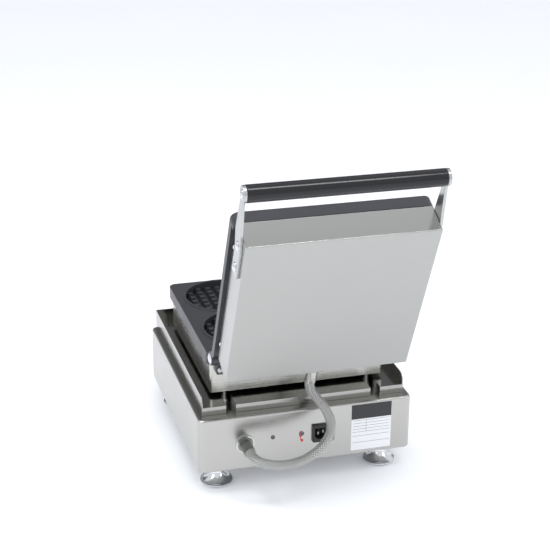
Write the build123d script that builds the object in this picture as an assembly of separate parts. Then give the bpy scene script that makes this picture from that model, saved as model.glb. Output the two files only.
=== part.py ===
from build123d import *
import math
import os

# Waffle iron for four round waffles, on a stainless steel base, with its lid open as it rests.
# X runs to the operator's right, Y to the rear and Z up. All sizes are in millimetres.
# Heights are measured from the surface that the feet stand on. While it is modelled, Y counts from
# the middle of the housing, and the lid pieces are made closed and then turned to the open stop.

# Clearances
FIT = 0.1              # between a fastener and its hole
RUN = 0.05             # radial, between a turning shaft or pin and its bore
AIR = 0.3              # between pieces that move past each other

# Housing
HOUSING_WIDTH = 300.0
HOUSING_DEPTH = 320.0
HOUSING_HEIGHT = 77.3
HOUSING_SHEET = 1.2
HOUSING_CORNER_RADIUS = 8.0
HOUSING_TOP_RADIUS = 3.0
HOUSING_FLANGE = 18.0
BOTTOM_SHEET = 1.2
BOTTOM_EDGE_INSET = 1.0
VENT_LENGTH = 60.0
VENT_WIDTH = 4.0
VENT_PITCH = 12.0
VENT_COUNT = 7

# Feet
FOOT_HEIGHT = 35.0
FOOT_FLANGE_RADIUS = 22.3
FOOT_RIM_HEIGHT = 3.0
FOOT_NECK_RADIUS = 8.3
FOOT_COLLAR_RADIUS = 12.0
FOOT_COLLAR_HEIGHT = 7.0
FOOT_SIDE_INSET = 32.0
FOOT_END_INSET = 36.0
PAD_RADIUS = 19.0
PAD_THICKNESS = 3.0
STUD_RADIUS = 4.0
STUD_LENGTH = 42.0
STUD_NUT_ACROSS = 13.0
STUD_NUT_HEIGHT = 6.5

# Small fasteners
SCREW_RADIUS = 2.0
SCREW_LENGTH = 8.0
SCREW_HEAD_RADIUS = 3.6
SCREW_HEAD_HEIGHT = 2.0

# Drip tray
TRAY_SIDE_INSET = 8.0
TRAY_SHEET = 1.2
TRAY_REAR_INSET = 15.0
TRAY_FRONT_INSET = 1.0
TRAY_FLOOR_HEIGHT = 11.4
TRAY_WALL_HEIGHT = 15.0
TRAY_WALL_END_RADIUS = 11.0
TRAY_SLOT_WIDTH = 13.6

# Lower cooking head
HEAD_GAP = 5.6
LEG_RADIUS = 4.25
LEG_SHOULDER_RADIUS = 6.0
LEG_SHOULDER_HEIGHT = 1.5
LEG_STUB_RADIUS = 3.2
LEG_BORE_RADIUS = 2.2
LEG_END_INSET = 9.3
LEG_SIDE_INSET = 25.5
LEG_NUT_ACROSS = 10.0
LEG_NUT_HEIGHT = 5.0
BOX_HEIGHT = 43.5
BOX_SHEET = 1.2
BOX_CORNER_RADIUS = 4.0
BOX_INSET = 4.5

# Cooking plates
PLATE_WIDTH = 255.0
PLATE_DEPTH = 251.0
PLATE_CENTRE_Y = -7.5
PLATE_THICKNESS = 17.5
PLATE_CORNER_RADIUS = 10.0
PLATE_EDGE_RADIUS = 1.0
WAFFLE_RADIUS = 56.0
WAFFLE_DEPTH = 12.0
WAFFLE_SPACING = 115.4
WAFFLE_FORWARD = 6.5
RIM_WIDTH = 3.5
RIM_HEIGHT = 0.8
PEG_PITCH = 14.5
PEG_BASE = 10.0
PEG_TOP = 6.5
PEG_HEIGHT = 7.5

# Heating under and over the plates
ELEMENT_RADIUS = 4.0
ELEMENT_SIDE_INSET = 39.5
ELEMENT_INNER_HALF_WIDTH = 35.0
ELEMENT_REAR_INSET = 20.0
ELEMENT_INNER_BACK = 40.0
ELEMENT_FRONT_INSET = 21.0
ELEMENT_END_GAP = 30.0
ELEMENT_BEND_RADIUS = 20.0
TERMINAL_RADIUS = 2.0
TERMINAL_LENGTH = 5.0
CLAMP_THICKNESS = 3.0
CLAMP_SIDE_MARGIN = 8.0
CLAMP_MARGIN = 5.0
CLAMP_SCREW_RADIUS = 3.0
CLAMP_SCREW_GRIP = 7.0
CLAMP_SCREW_BACK = 20.0
CLAMP_HEAD_RADIUS = 5.0
CLAMP_HEAD_HEIGHT = 3.0
WOOL_CLEARANCE = 2.5
WOOL_POCKET = 26.0
LEAD_RADIUS = 1.2
LEAD_BEND_RADIUS = 5.0

# Hinge
HINGE_REAR_OF_PLATE = 17.9
HINGE_ABOVE_FACE = 0.9
HINGE_PIN_RADIUS = 4.0
HINGE_PIN_HEAD_RADIUS = 7.5
HINGE_PIN_HEAD_HEIGHT = 3.0
KNUCKLE_RADIUS = 9.5
LUG_WIDTH = 11.5
BRACKET_WIDTH = 10.0
BRACKET_DROP = 12.3
BRACKET_FOOT_DEPTH = 11.0
BRACKET_SCREW_RADIUS = 2.5
LID_OPENING = 114.7

# Lid
LID_FRAME_HEIGHT = 8.8
LID_FRAME_SHEET = 1.5
LID_FRAME_INSET = 1.5
LID_FRAME_TALL = 33.7
LID_RIM_THICKNESS = 10.8
LID_LIP_DEPTH = 12.0
LID_LIP_GAP = 1.0
LID_COVER_HEIGHT = 41.9
LID_COVER_SHEET = 1.2
LID_COVER_SIDE_INSET = 4.2
LID_COVER_REAR_INSET = 4.7
LID_COVER_FRONT_INSET = 0.1
LID_COVER_EDGE_RADIUS = 1.6

# Handle
HANDLE_RADIUS = 11.0
HANDLE_REACH = 59.9
HANDLE_BELOW_TOP = 28.7
HANDLE_EDGE_RADIUS = 1.2
ROD_RADIUS = 4.0
ARM_THICKNESS = 4.0
ARM_END_RADIUS = 10.8
ARM_NECK_HALF = 5.0
ARM_NECK_REACH = 15.0
ARM_BELOW_TOP = 8.8
ARM_DEPTH = 20.0
ARM_TAIL_BACK = 62.4
ARM_BEND_BACK = 22.0
ARM_BULGE = 7.6
ARM_SHOULDER_DROP = 4.0
ARM_CORNER_RADIUS = 3.0
ARM_EDGE_RADIUS = 0.6
ARM_SCREW_RADIUS = 2.4
ARM_SCREW_HEAD_RADIUS = 6.0
ARM_SCREW_HEAD_HEIGHT = 2.8
ARM_SCREW_GRIP = 14.0
ARM_BOLT_FRONT_BACK = 14.2
ARM_BOLT_REAR_BACK = 49.5
ARM_BOLT_BELOW_TOP = 18.4
ARM_BOLT_RADIUS = 3.0
ARM_BOLT_HEAD_RADIUS = 6.5
ARM_BOLT_HEAD_HEIGHT = 3.0
ARM_NUT_ACROSS = 10.0
ARM_NUT_HEIGHT = 5.0

# Braided hose and its two fittings
HOSE_RADIUS = 6.75
HOSE_LEAD_OUT = 14.0
HOSE_FIRST_RUN = 17.0
HOSE_LOOP = ((72.0, 217.0, 68.5), (44.0, 222.0, 66.5), (14.0, 219.0, 72.0),
             (-11.0, 210.0, 85.0), (-24.0, 199.0, 104.0), (-18.0, 187.5, 124.0), (-5.0, 178.0, 141.0))
GLAND_X = 86.4
GLAND_HEIGHT = 72.2
GLAND_WASHER_RADIUS = 13.0
GLAND_WASHER_THICKNESS = 2.0
GLAND_HEX_ACROSS = 19.0
GLAND_HEX_HEIGHT = 4.0
GLAND_SLEEVE_RADIUS = 8.0
GLAND_SLEEVE_LENGTH = 19.0
GLAND_STUB_RADIUS = 6.0
GLAND_STUB_LENGTH = 9.0
FERRULE_X = 4.3
FERRULE_BELOW_TOP = 8.5
FERRULE_RADIUS = 7.8
FERRULE_LENGTH = 24.0
FERRULE_STUB_RADIUS = 4.5
FERRULE_NUT_ACROSS = 12.0

# Mains inlet, rear screws and rating plate
INLET_X = -22.8
INLET_HEIGHT = 75.0
INLET_FLANGE_WIDTH = 31.2
INLET_FLANGE_HEIGHT = 26.0
INLET_FLANGE_THICKNESS = 3.0
INLET_BODY_WIDTH = 27.0
INLET_BODY_HEIGHT = 20.0
INLET_CAVITY_WIDTH = 24.0
INLET_CAVITY_HEIGHT = 16.2
INLET_CAVITY_DEPTH = 16.0
INLET_WALL = 2.0
INLET_FLANGE_CHAMFER = 2.0
INLET_CAVITY_CHAMFER = 4.0
PIN_WIDTH = 2.0
PIN_TALL = 4.0
PIN_SPACING = 7.0
PIN_EARTH_RISE = 2.0
PIN_TAIL = 9.0
REAR_SCREW_XS = (47.8, 6.8)
REAR_SCREW_HEIGHT = 76.8
REAR_SCREW_RADIUS = 1.6
REAR_SCREW_HEAD_RADIUS = 3.1
REAR_SCREW_HEAD_HEIGHT = 1.8
LACQUER_RING_WIDTH = 1.1
LACQUER_RING_START = 0.5
LACQUER_THICKNESS = 0.5
LACQUER_DROP_RADIUS = 1.9
LACQUER_DROP_BELOW = 10.4
LABEL_SIDE_INSET = 57.7
LABEL_WIDTH = 57.4
LABEL_HEIGHT = 69.5
LABEL_LOW_EDGE = 40.5
LABEL_THICKNESS = 0.25

# Front controls
FASCIA_SIDE_INSET = 12.0
FASCIA_HEIGHT = 60.0
FASCIA_THICKNESS = 1.0
FASCIA_CORNER_RADIUS = 3.0
CONTROL_HEIGHT = 74.0
THERMOSTAT_SIDE_INSET = 90.0
KNOB_RADIUS = 19.0
KNOB_SKIRT_RADIUS = 22.0
KNOB_SKIRT_HEIGHT = 4.0
KNOB_LENGTH = 20.0
KNOB_SHELL_DEPTH = 9.0
KNOB_GRIP_COUNT = 18
KNOB_GRIP_RADIUS = 1.6
POINTER_WIDTH = 2.2
SPINDLE_RADIUS = 3.0
SPINDLE_IN_KNOB = 12.0
SPINDLE_IN_BODY = 10.0
BUSH_RADIUS = 5.0
THERMOSTAT_BODY_WIDTH = 36.0
THERMOSTAT_BODY_HEIGHT = 34.0
THERMOSTAT_BODY_DEPTH = 30.0
LAMP_SIDE_INSETS = (88.0, 112.0)
LAMP_RADIUS = 6.0
LAMP_LENS_RADIUS = 5.0
LAMP_BEZEL_RADIUS = 8.0
LAMP_BEZEL_HEIGHT = 1.5
LAMP_DOME = 3.0
LAMP_BODY_LENGTH = 24.0
SWITCH_SIDE_INSET = 46.0
SWITCH_BEZEL_WIDTH = 22.0
SWITCH_BEZEL_MARGIN = 1.5
SWITCH_BEZEL_THICKNESS = 2.0
SWITCH_BODY_DEPTH = 22.0
SWITCH_WALL = 2.0
ROCKER_HALF_WIDTH = 7.0
ROCKER_HALF_HEIGHT = 10.5
ROCKER_PROUD = 7.0
ROCKER_DISH = 2.2
ROCKER_TRUNNION_RADIUS = 1.5
ROCKER_TILT = 10.0
TERMINAL_BLOCK_X = 20.0
TERMINAL_BLOCK_Y = 70.0
TERMINAL_BLOCK_LENGTH = 62.0
TERMINAL_BLOCK_WIDTH = 20.0
TERMINAL_BLOCK_HEIGHT = 18.0
TERMINAL_WAYS = 5
BULB_RADIUS = 3.0
BULB_LENGTH = 76.0
BULB_X = -16.0
CAPILLARY_RADIUS = 0.8
CUTOUT_RADIUS = 8.0
CUTOUT_HEIGHT = 7.0
CUTOUT_X = 62.0

# Heights and places that follow from the sizes above
half_width = HOUSING_WIDTH / 2
rear_y = HOUSING_DEPTH / 2
front_y = -rear_y
shell_base = FOOT_HEIGHT + BOTTOM_SHEET
deck = shell_base + HOUSING_HEIGHT
deck_under = deck - HOUSING_SHEET
inner_front = front_y + HOUSING_SHEET
inner_rear = rear_y - HOUSING_SHEET
flange_top = shell_base + HOUSING_SHEET
fascia_front = front_y - FASCIA_THICKNESS
fascia_width = HOUSING_WIDTH - 2 * FASCIA_SIDE_INSET
switch_x = -half_width + SWITCH_SIDE_INSET
lamp_xs = [-half_width + inset for inset in LAMP_SIDE_INSETS]
thermostat_x = half_width - THERMOSTAT_SIDE_INSET
label_x = -half_width + LABEL_SIDE_INSET

foot_places = [(sx * (half_width - FOOT_SIDE_INSET), sy * (rear_y - FOOT_END_INSET))
               for sx in (-1, 1) for sy in (-1, 1)]

tray_base = deck + AIR
tray_floor = tray_base + TRAY_FLOOR_HEIGHT
tray_top = tray_floor + TRAY_WALL_HEIGHT
tray_front = front_y - TRAY_FRONT_INSET
tray_rear = rear_y - TRAY_REAR_INSET
tray_half = half_width - TRAY_SIDE_INSET

plate_front = PLATE_CENTRE_Y - PLATE_DEPTH / 2
plate_rear = PLATE_CENTRE_Y + PLATE_DEPTH / 2
plate_half = PLATE_WIDTH / 2
waffle_centre_y = PLATE_CENTRE_Y - WAFFLE_FORWARD
element_half = plate_half - ELEMENT_SIDE_INSET
element_rear = plate_rear - ELEMENT_REAR_INSET
element_front = plate_front + ELEMENT_FRONT_INSET
element_inner_rear = element_rear - ELEMENT_INNER_BACK
clamp_half = element_half + CLAMP_SIDE_MARGIN
box_base = tray_floor + HEAD_GAP
box_top = box_base + BOX_HEIGHT
box_floor = box_base + BOX_SHEET
box_half = plate_half - BOX_INSET
box_front = plate_front + BOX_INSET
box_rear = plate_rear - BOX_INSET
plate_top = box_top + PLATE_THICKNESS
leg_x = plate_half - LEG_SIDE_INSET
leg_places = [(sx * leg_x, y) for sx in (-1, 1)
              for y in (box_front + LEG_END_INSET, box_rear - LEG_END_INSET)]
waffle_places = [(sx * WAFFLE_SPACING / 2, waffle_centre_y + sy * WAFFLE_SPACING / 2)
                 for sx in (-1, 1) for sy in (-1, 1)]
clamp_screw_places = [(0, element_front), (0, waffle_centre_y), (0, element_rear - CLAMP_SCREW_BACK)]

hinge_y = plate_rear + HINGE_REAR_OF_PLATE
hinge_z = plate_top + HINGE_ABOVE_FACE
lug_outer = plate_half
lug_inner = plate_half - LUG_WIDTH
bracket_outer = lug_inner - AIR
bracket_inner = bracket_outer - BRACKET_WIDTH

# Closed lid: the rims of the two plates stop AIR apart
lid_face = plate_top + 2 * RIM_HEIGHT + AIR
lid_rim_top = lid_face + LID_RIM_THICKNESS
lid_cast_top = lid_face + PLATE_THICKNESS
cover_base = lid_rim_top + LID_FRAME_HEIGHT
cover_top = cover_base + LID_COVER_HEIGHT
cover_half = plate_half - LID_COVER_SIDE_INSET
cover_front = plate_front + LID_COVER_FRONT_INSET
cover_rear = plate_rear - LID_COVER_REAR_INSET
frame_half = cover_half - LID_FRAME_INSET
frame_front = cover_front + LID_FRAME_INSET
frame_rear = cover_rear - LID_FRAME_INSET
frame_top = cover_base + LID_FRAME_TALL
lip_rear = plate_front + LID_LIP_DEPTH
handle_y = cover_front - HANDLE_REACH
handle_z = cover_top - HANDLE_BELOW_TOP
arm_outer = cover_half + ARM_THICKNESS
arm_bolt_places = [(cover_front + back, cover_top - ARM_BOLT_BELOW_TOP)
                   for back in (ARM_BOLT_FRONT_BACK, ARM_BOLT_REAR_BACK)]
ferrule_z = cover_top - FERRULE_BELOW_TOP
gland_end = rear_y + GLAND_WASHER_THICKNESS + GLAND_HEX_HEIGHT + GLAND_SLEEVE_LENGTH
lid_axis = Axis((0, hinge_y, hinge_z), (1, 0, 0))

nodes = {}


def keep(name, *pieces):
    """Keep the pieces of one node, each a solid of its own."""
    solids = [solid for piece in pieces for solid in piece.solids()]
    nodes[name] = solids[0] if len(solids) == 1 else Compound(solids)


def keep_lid(name, *pieces):
    """Keep lid pieces, turned from closed to the open stop."""
    keep(name, *[piece.rotate(lid_axis, -LID_OPENING) for piece in pieces])


def block(x0, x1, y0, y1, z0, z1):
    middle = Pos((x0 + x1) / 2, (y0 + y1) / 2, (z0 + z1) / 2)
    return middle * Box(x1 - x0, y1 - y0, z1 - z0)


def rounded_block(x0, x1, y0, y1, z0, z1, radius):
    outline = Pos((x0 + x1) / 2, (y0 + y1) / 2, z0) * RectangleRounded(x1 - x0, y1 - y0, radius)
    return extrude(outline, amount=z1 - z0)


def drum(radius, length, start, direction):
    """Round bar of the given length that starts at a point and runs along a direction."""
    bar = Cylinder(radius, length, align=(Align.CENTER, Align.CENTER, Align.MIN))
    return Plane(origin=start, z_dir=direction).location * bar


def hex_bar(across, length, start, direction):
    outline = RegularPolygon(across / 2, 6, major_radius=False)
    return Plane(origin=start, z_dir=direction).location * extrude(outline, amount=length)


def nut(across, height, bore, start, direction):
    return hex_bar(across, height, start, direction) - drum(bore, height, start, direction)


def domed_head(radius, height, start, direction):
    """Low screw head: a short straight edge under a cap that is part of a ball."""
    edge = 0.25 * height
    rise = height - edge
    ball = (radius ** 2 + rise ** 2) / (2 * rise)
    half_turn = math.asin(radius / ball) / 2
    middle = (ball * math.sin(half_turn), height - ball + ball * math.cos(half_turn))
    section = make_face(Polyline((0, height), (0, 0), (radius, 0), (radius, edge))
                        + ThreePointArc((radius, edge), middle, (0, height)))
    head = revolve(Plane.XZ * section, Axis.Z)
    return Plane(origin=start, z_dir=direction).location * head


def side_plate(outline, x0, x1):
    """Plate with an outline of (y, z) corners, between two X values."""
    face = Plane.YZ.offset(x0) * outline
    return extrude(face, amount=x1 - x0, dir=(1, 0, 0))


def lead(points, radius, bend):
    """Wire or capillary: straight runs joined by arcs."""
    path = FilletPolyline(*points, radius=bend)
    ring = Plane(origin=path @ 0, z_dir=path % 0) * Circle(radius)
    return sweep(ring, path=path)


# Housing, bottom and feet

def rounded_box(inset, base):
    corner = HOUSING_CORNER_RADIUS - inset
    body = rounded_block(-half_width + inset, half_width - inset, front_y + inset, rear_y - inset,
                         base, deck - inset, corner)
    rim = body.faces().sort_by(Axis.Z)[-1].edges()
    return fillet(rim, HOUSING_TOP_RADIUS - inset)


def make_housing():
    shell = rounded_box(0, shell_base) - rounded_box(HOUSING_SHEET, shell_base - 1)
    flange = rounded_block(-half_width, half_width, front_y, rear_y, shell_base, flange_top,
                           HOUSING_CORNER_RADIUS)
    flange -= block(-half_width + HOUSING_FLANGE, half_width - HOUSING_FLANGE,
                    front_y + HOUSING_FLANGE, rear_y - HOUSING_FLANGE, shell_base - 1, flange_top + 1)
    shell += flange
    for x, y in leg_places:
        shell -= drum(LEG_STUB_RADIUS + FIT, 10, (x, y, deck - 5), (0, 0, 1))
    for x, y in bottom_screw_places():
        shell -= drum(SCREW_RADIUS + FIT, 10, (x, y, shell_base - 5), (0, 0, 1))
    shell -= drum(GLAND_STUB_RADIUS + FIT, 10, (GLAND_X, rear_y - 5, GLAND_HEIGHT), (0, 1, 0))
    shell -= block(INLET_X - INLET_BODY_WIDTH / 2 - FIT, INLET_X + INLET_BODY_WIDTH / 2 + FIT,
                   rear_y - 5, rear_y + 5,
                   INLET_HEIGHT - INLET_BODY_HEIGHT / 2 - FIT, INLET_HEIGHT + INLET_BODY_HEIGHT / 2 + FIT)
    for x in REAR_SCREW_XS:
        shell -= drum(REAR_SCREW_RADIUS + FIT, 10, (x, rear_y - 5, REAR_SCREW_HEIGHT), (0, 1, 0))
    for hole in control_holes(front_y):
        shell -= hole
    return shell


def bottom_screw_places():
    x = half_width - HOUSING_FLANGE / 2
    y = rear_y - HOUSING_FLANGE / 2
    return [(sx * x, sy * y * part) for sx in (-1, 1) for sy, part in ((-1, 0.9), (1, 0.9), (0, 0))]


def make_bottom():
    edge = BOTTOM_EDGE_INSET
    plate = rounded_block(-half_width + edge, half_width - edge, front_y + edge, rear_y - edge,
                          FOOT_HEIGHT, shell_base, HOUSING_CORNER_RADIUS - edge)
    for x, y in foot_places:
        plate -= drum(STUD_RADIUS + FIT, 10, (x, y, FOOT_HEIGHT - 5), (0, 0, 1))
    for x, y in bottom_screw_places():
        plate -= drum(SCREW_RADIUS + FIT, 10, (x, y, FOOT_HEIGHT - 5), (0, 0, 1))
    for side in (-1, 1):
        for number in range(VENT_COUNT):
            y = (number - (VENT_COUNT - 1) / 2) * VENT_PITCH
            slot = Pos(side * VENT_LENGTH * 0.75, y, FOOT_HEIGHT - 1) * SlotOverall(VENT_LENGTH, VENT_WIDTH)
            plate -= extrude(slot, amount=BOTTOM_SHEET + 2)
    return plate


def make_foot(x, y):
    """Turned foot: a wide flange that sweeps up to a narrow neck under a collar."""
    sole = PAD_THICKNESS / 2
    neck_low = 0.55 * FOOT_HEIGHT
    collar_low = FOOT_HEIGHT - FOOT_COLLAR_HEIGHT
    rim = FOOT_FLANGE_RADIUS
    sweep_mid = (0.5 * (rim + FOOT_NECK_RADIUS) - 1.5, 0.45 * (FOOT_RIM_HEIGHT + neck_low) - 1.2)
    outline = (Polyline((0, sole), (rim - 1, sole), (rim, sole + 1), (rim, FOOT_RIM_HEIGHT + sole))
               + ThreePointArc((rim, FOOT_RIM_HEIGHT + sole), sweep_mid, (FOOT_NECK_RADIUS, neck_low))
               + Polyline((FOOT_NECK_RADIUS, neck_low), (FOOT_NECK_RADIUS, collar_low),
                          (FOOT_COLLAR_RADIUS - 1, collar_low), (FOOT_COLLAR_RADIUS, collar_low + 1),
                          (FOOT_COLLAR_RADIUS, FOOT_HEIGHT), (0, FOOT_HEIGHT), (0, sole)))
    body = revolve(Plane.XZ * make_face(outline), Axis.Z)
    body -= Cylinder(PAD_RADIUS + FIT, 2 * PAD_THICKNESS)
    body -= drum(STUD_RADIUS + FIT, FOOT_HEIGHT, (0, 0, stud_base()), (0, 0, 1))
    return Pos(x, y, 0) * body


def stud_base():
    return FOOT_HEIGHT + BOTTOM_SHEET + STUD_NUT_HEIGHT + 3 - STUD_LENGTH


def make_feet():
    keep("levelling_feet", *[make_foot(x, y) for x, y in foot_places])
    keep("foot_pads", *[drum(PAD_RADIUS, PAD_THICKNESS, (x, y, 0), (0, 0, 1)) for x, y in foot_places])
    keep("foot_studs", *[drum(STUD_RADIUS, STUD_LENGTH, (x, y, stud_base()), (0, 0, 1))
                         for x, y in foot_places])
    bore = STUD_RADIUS + FIT
    keep("foot_nuts", *[nut(STUD_NUT_ACROSS, STUD_NUT_HEIGHT, bore, (x, y, shell_base), (0, 0, 1))
                        for x, y in foot_places])


def make_bottom_screws():
    screws = []
    for x, y in bottom_screw_places():
        head = domed_head(SCREW_HEAD_RADIUS, SCREW_HEAD_HEIGHT, (x, y, FOOT_HEIGHT), (0, 0, -1))
        screws.append(head + drum(SCREW_RADIUS, SCREW_LENGTH, (x, y, FOOT_HEIGHT), (0, 0, 1)))
    return screws


# Drip tray: floor raised on folded edges, low walls on three sides, two slots open to the rear

def make_tray():
    sheet = TRAY_SHEET
    wall_front = tray_front
    outer = block(-tray_half, tray_half, wall_front, tray_rear, tray_base, tray_top)
    ends = [edge for edge in outer.edges().filter_by(Axis.X)
            if edge.center().Y > tray_rear - 1 and edge.center().Z > tray_top - 1]
    outer = fillet(ends, TRAY_WALL_END_RADIUS)
    outer -= block(-tray_half + sheet, tray_half - sheet, wall_front + sheet, tray_rear + 1,
                   tray_floor, tray_top + 1)
    outer -= block(-tray_half + sheet, tray_half - sheet, wall_front + sheet, tray_rear - sheet,
                   tray_base - 1, tray_floor - sheet)
    half_slot = TRAY_SLOT_WIDTH / 2
    slot_front = box_front + LEG_END_INSET - half_slot
    for side in (-1, 1):
        middle = side * leg_x
        flanges = block(middle - half_slot - sheet, middle + half_slot + sheet, slot_front - sheet,
                        tray_rear - sheet / 2, tray_base, tray_floor - sheet / 2)
        outer += flanges
    for side in (-1, 1):
        middle = side * leg_x
        outer -= block(middle - half_slot, middle + half_slot, slot_front, tray_rear + 1,
                       tray_base - 1, tray_floor + 1)
    return outer


# Lower head: legs, heater box and cooking plate

def make_leg(x, y):
    low = deck_under - LEG_NUT_HEIGHT - 1
    high = box_floor + LEG_NUT_HEIGHT + 1
    leg = drum(LEG_STUB_RADIUS, high - low, (x, y, low), (0, 0, 1))
    leg += drum(LEG_RADIUS, box_base - deck, (x, y, deck), (0, 0, 1))
    leg += drum(LEG_SHOULDER_RADIUS, LEG_SHOULDER_HEIGHT, (x, y, deck), (0, 0, 1))
    return leg - drum(LEG_BORE_RADIUS, high - low + 2, (x, y, low - 1), (0, 0, 1))


def make_leg_nuts():
    bore = LEG_STUB_RADIUS + FIT
    nuts = []
    for x, y in leg_places:
        nuts.append(nut(LEG_NUT_ACROSS, LEG_NUT_HEIGHT, bore, (x, y, deck_under), (0, 0, -1)))
        nuts.append(nut(LEG_NUT_ACROSS, LEG_NUT_HEIGHT, bore, (x, y, box_floor), (0, 0, 1)))
    return nuts


def make_lower_box():
    box = rounded_block(-box_half, box_half, box_front, box_rear, box_base, box_top, BOX_CORNER_RADIUS)
    box -= rounded_block(-box_half + BOX_SHEET, box_half - BOX_SHEET, box_front + BOX_SHEET,
                         box_rear - BOX_SHEET, box_floor, box_top + 1, BOX_CORNER_RADIUS - BOX_SHEET)
    for x, y in leg_places:
        box -= drum(LEG_STUB_RADIUS + FIT, 10, (x, y, box_base - 5), (0, 0, 1))
    for x, z in bracket_screw_places():
        box -= drum(BRACKET_SCREW_RADIUS + FIT, 10, (x, box_rear - 5, z), (0, 1, 0))
    return box


def peg(x, y):
    """Square peg of the waffle pattern, tapered from its base to its top."""
    base = Pos(x, y, 0) * Rectangle(PEG_BASE, PEG_BASE)
    top = Pos(x, y, PEG_HEIGHT) * Rectangle(PEG_TOP, PEG_TOP)
    return loft([base, top])


def make_mould():
    """The space that one half waffle fills: a round recess with a grid of pegs left standing."""
    reach = int(WAFFLE_RADIUS / PEG_PITCH)
    pegs = []
    for column in range(-reach, reach + 1):
        for row in range(-reach, reach + 1):
            x, y = column * PEG_PITCH, row * PEG_PITCH
            if math.hypot(x, y) < WAFFLE_RADIUS - PEG_TOP / 2:
                pegs.append(peg(x, y))
    recess = drum(WAFFLE_RADIUS, WAFFLE_DEPTH + RIM_HEIGHT + 1, (0, 0, 0), (0, 0, 1))
    return recess - pegs


def make_cooking_plate():
    """Lower plate with its face up: four moulds, each with a raised rim."""
    plate = rounded_block(-plate_half, plate_half, plate_front, plate_rear, box_top, plate_top,
                          PLATE_CORNER_RADIUS)
    plate = fillet(plate.faces().sort_by(Axis.Z)[-1].edges(), PLATE_EDGE_RADIUS)
    mould = make_mould()
    for x, y in waffle_places:
        plate += drum(WAFFLE_RADIUS + RIM_WIDTH, RIM_HEIGHT + 1, (x, y, plate_top - 1), (0, 0, 1))
    for x, y in waffle_places:
        plate -= Pos(x, y, plate_top - WAFFLE_DEPTH) * mould
    for x, y in clamp_screw_places:
        plate -= drum(CLAMP_SCREW_RADIUS + FIT, CLAMP_SCREW_GRIP + 1, (x, y, box_top), (0, 0, 1))
    return plate


def upper_from(lower):
    """The same casting turned face down for the lid."""
    return Pos(0, 0, lid_face + plate_top) * lower.mirror(Plane.XY)


def knuckle(x0, x1):
    return drum(KNUCKLE_RADIUS, x1 - x0, (x0, hinge_y, hinge_z), (1, 0, 0))


def make_upper_plate(lower):
    plate = upper_from(lower)
    step = LID_FRAME_SHEET + FIT
    ring = block(-plate_half - 1, plate_half + 1, lip_rear, plate_rear + 1, lid_rim_top, lid_cast_top + 1)
    ring -= rounded_block(-frame_half + step, frame_half - step, frame_front + step, frame_rear - step,
                          lid_rim_top - 1, lid_cast_top + 2, PLATE_CORNER_RADIUS)
    plate -= ring
    lip = rounded_block(-plate_half, plate_half, plate_front, plate_rear, lid_rim_top,
                        cover_base - LID_LIP_GAP, PLATE_CORNER_RADIUS)
    plate += lip - block(-plate_half - 1, plate_half + 1, lip_rear, plate_rear + 1,
                         lid_rim_top - 1, cover_base)
    for side in (-1, 1):
        low, high = sorted((side * lug_inner, side * lug_outer))
        root = plate_rear - PLATE_CORNER_RADIUS
        web = make_face(Polyline((root, lid_face + 0.5), (plate_rear + 2 * AIR, lid_face + 0.5),
                                 (hinge_y, hinge_z - KNUCKLE_RADIUS + 0.5),
                                 (hinge_y + KNUCKLE_RADIUS - 0.5, hinge_z), (plate_rear, lid_rim_top),
                                 (root, lid_rim_top), (root, lid_face + 0.5)))
        plate += side_plate(web, low, high) + knuckle(low, high)
        plate -= drum(HINGE_PIN_RADIUS + RUN, LUG_WIDTH + 2, (low - 1, hinge_y, hinge_z), (1, 0, 0))
    for x, y in frame_bolt_places():
        plate -= drum(SCREW_RADIUS + FIT, LID_FRAME_SHEET + 14, (x, y, frame_bolt_z()), (-x, 0, 0))
    return plate


# Hinge brackets on the rear of the lower head, with the pins that the lid turns on

def bracket_screw_places():
    z = box_top - BRACKET_DROP / 2
    return [(side * (bracket_inner + bracket_outer) / 2, z) for side in (-1, 1)]


def make_bracket(side):
    low, high = sorted((side * bracket_inner, side * bracket_outer))
    foot = box_rear + BRACKET_FOOT_DEPTH
    base = box_top - BRACKET_DROP
    outline = make_face(Polyline((box_rear, base), (foot, base), (foot, box_top),
                                 (hinge_y + 0.7 * KNUCKLE_RADIUS, hinge_z - 0.7 * KNUCKLE_RADIUS),
                                 (hinge_y, hinge_z), (plate_rear, plate_top - 4),
                                 (plate_rear, box_top), (box_rear, box_top), (box_rear, base)))
    arm = side_plate(outline, low, high) + knuckle(low, high)
    arm -= drum(HINGE_PIN_RADIUS + FIT, BRACKET_WIDTH + 2, (low - 1, hinge_y, hinge_z), (1, 0, 0))
    x, z = bracket_screw_places()[0 if side < 0 else 1]
    return arm - drum(BRACKET_SCREW_RADIUS + FIT, 40, (x, box_rear - 5, z), (0, 1, 0))


def make_hinge_pin(side):
    start = side * (bracket_inner - 1)
    length = lug_outer + AIR - bracket_inner + 1
    pin = drum(HINGE_PIN_RADIUS, length, (start, hinge_y, hinge_z), (side, 0, 0))
    end = (side * (lug_outer + AIR), hinge_y, hinge_z)
    return pin + domed_head(HINGE_PIN_HEAD_RADIUS, HINGE_PIN_HEAD_HEIGHT, end, (side, 0, 0))


def make_bracket_screws():
    screws = []
    for x, z in bracket_screw_places():
        start = box_rear + BRACKET_FOOT_DEPTH
        screw = drum(BRACKET_SCREW_RADIUS, BRACKET_FOOT_DEPTH + 5, (x, start, z), (0, -1, 0))
        screws.append(screw + domed_head(1.8 * BRACKET_SCREW_RADIUS, 2.5, (x, start, z), (0, 1, 0)))
    return screws


# Heating: a tubular element clamped to the back of each plate, with mineral wool behind it

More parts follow.
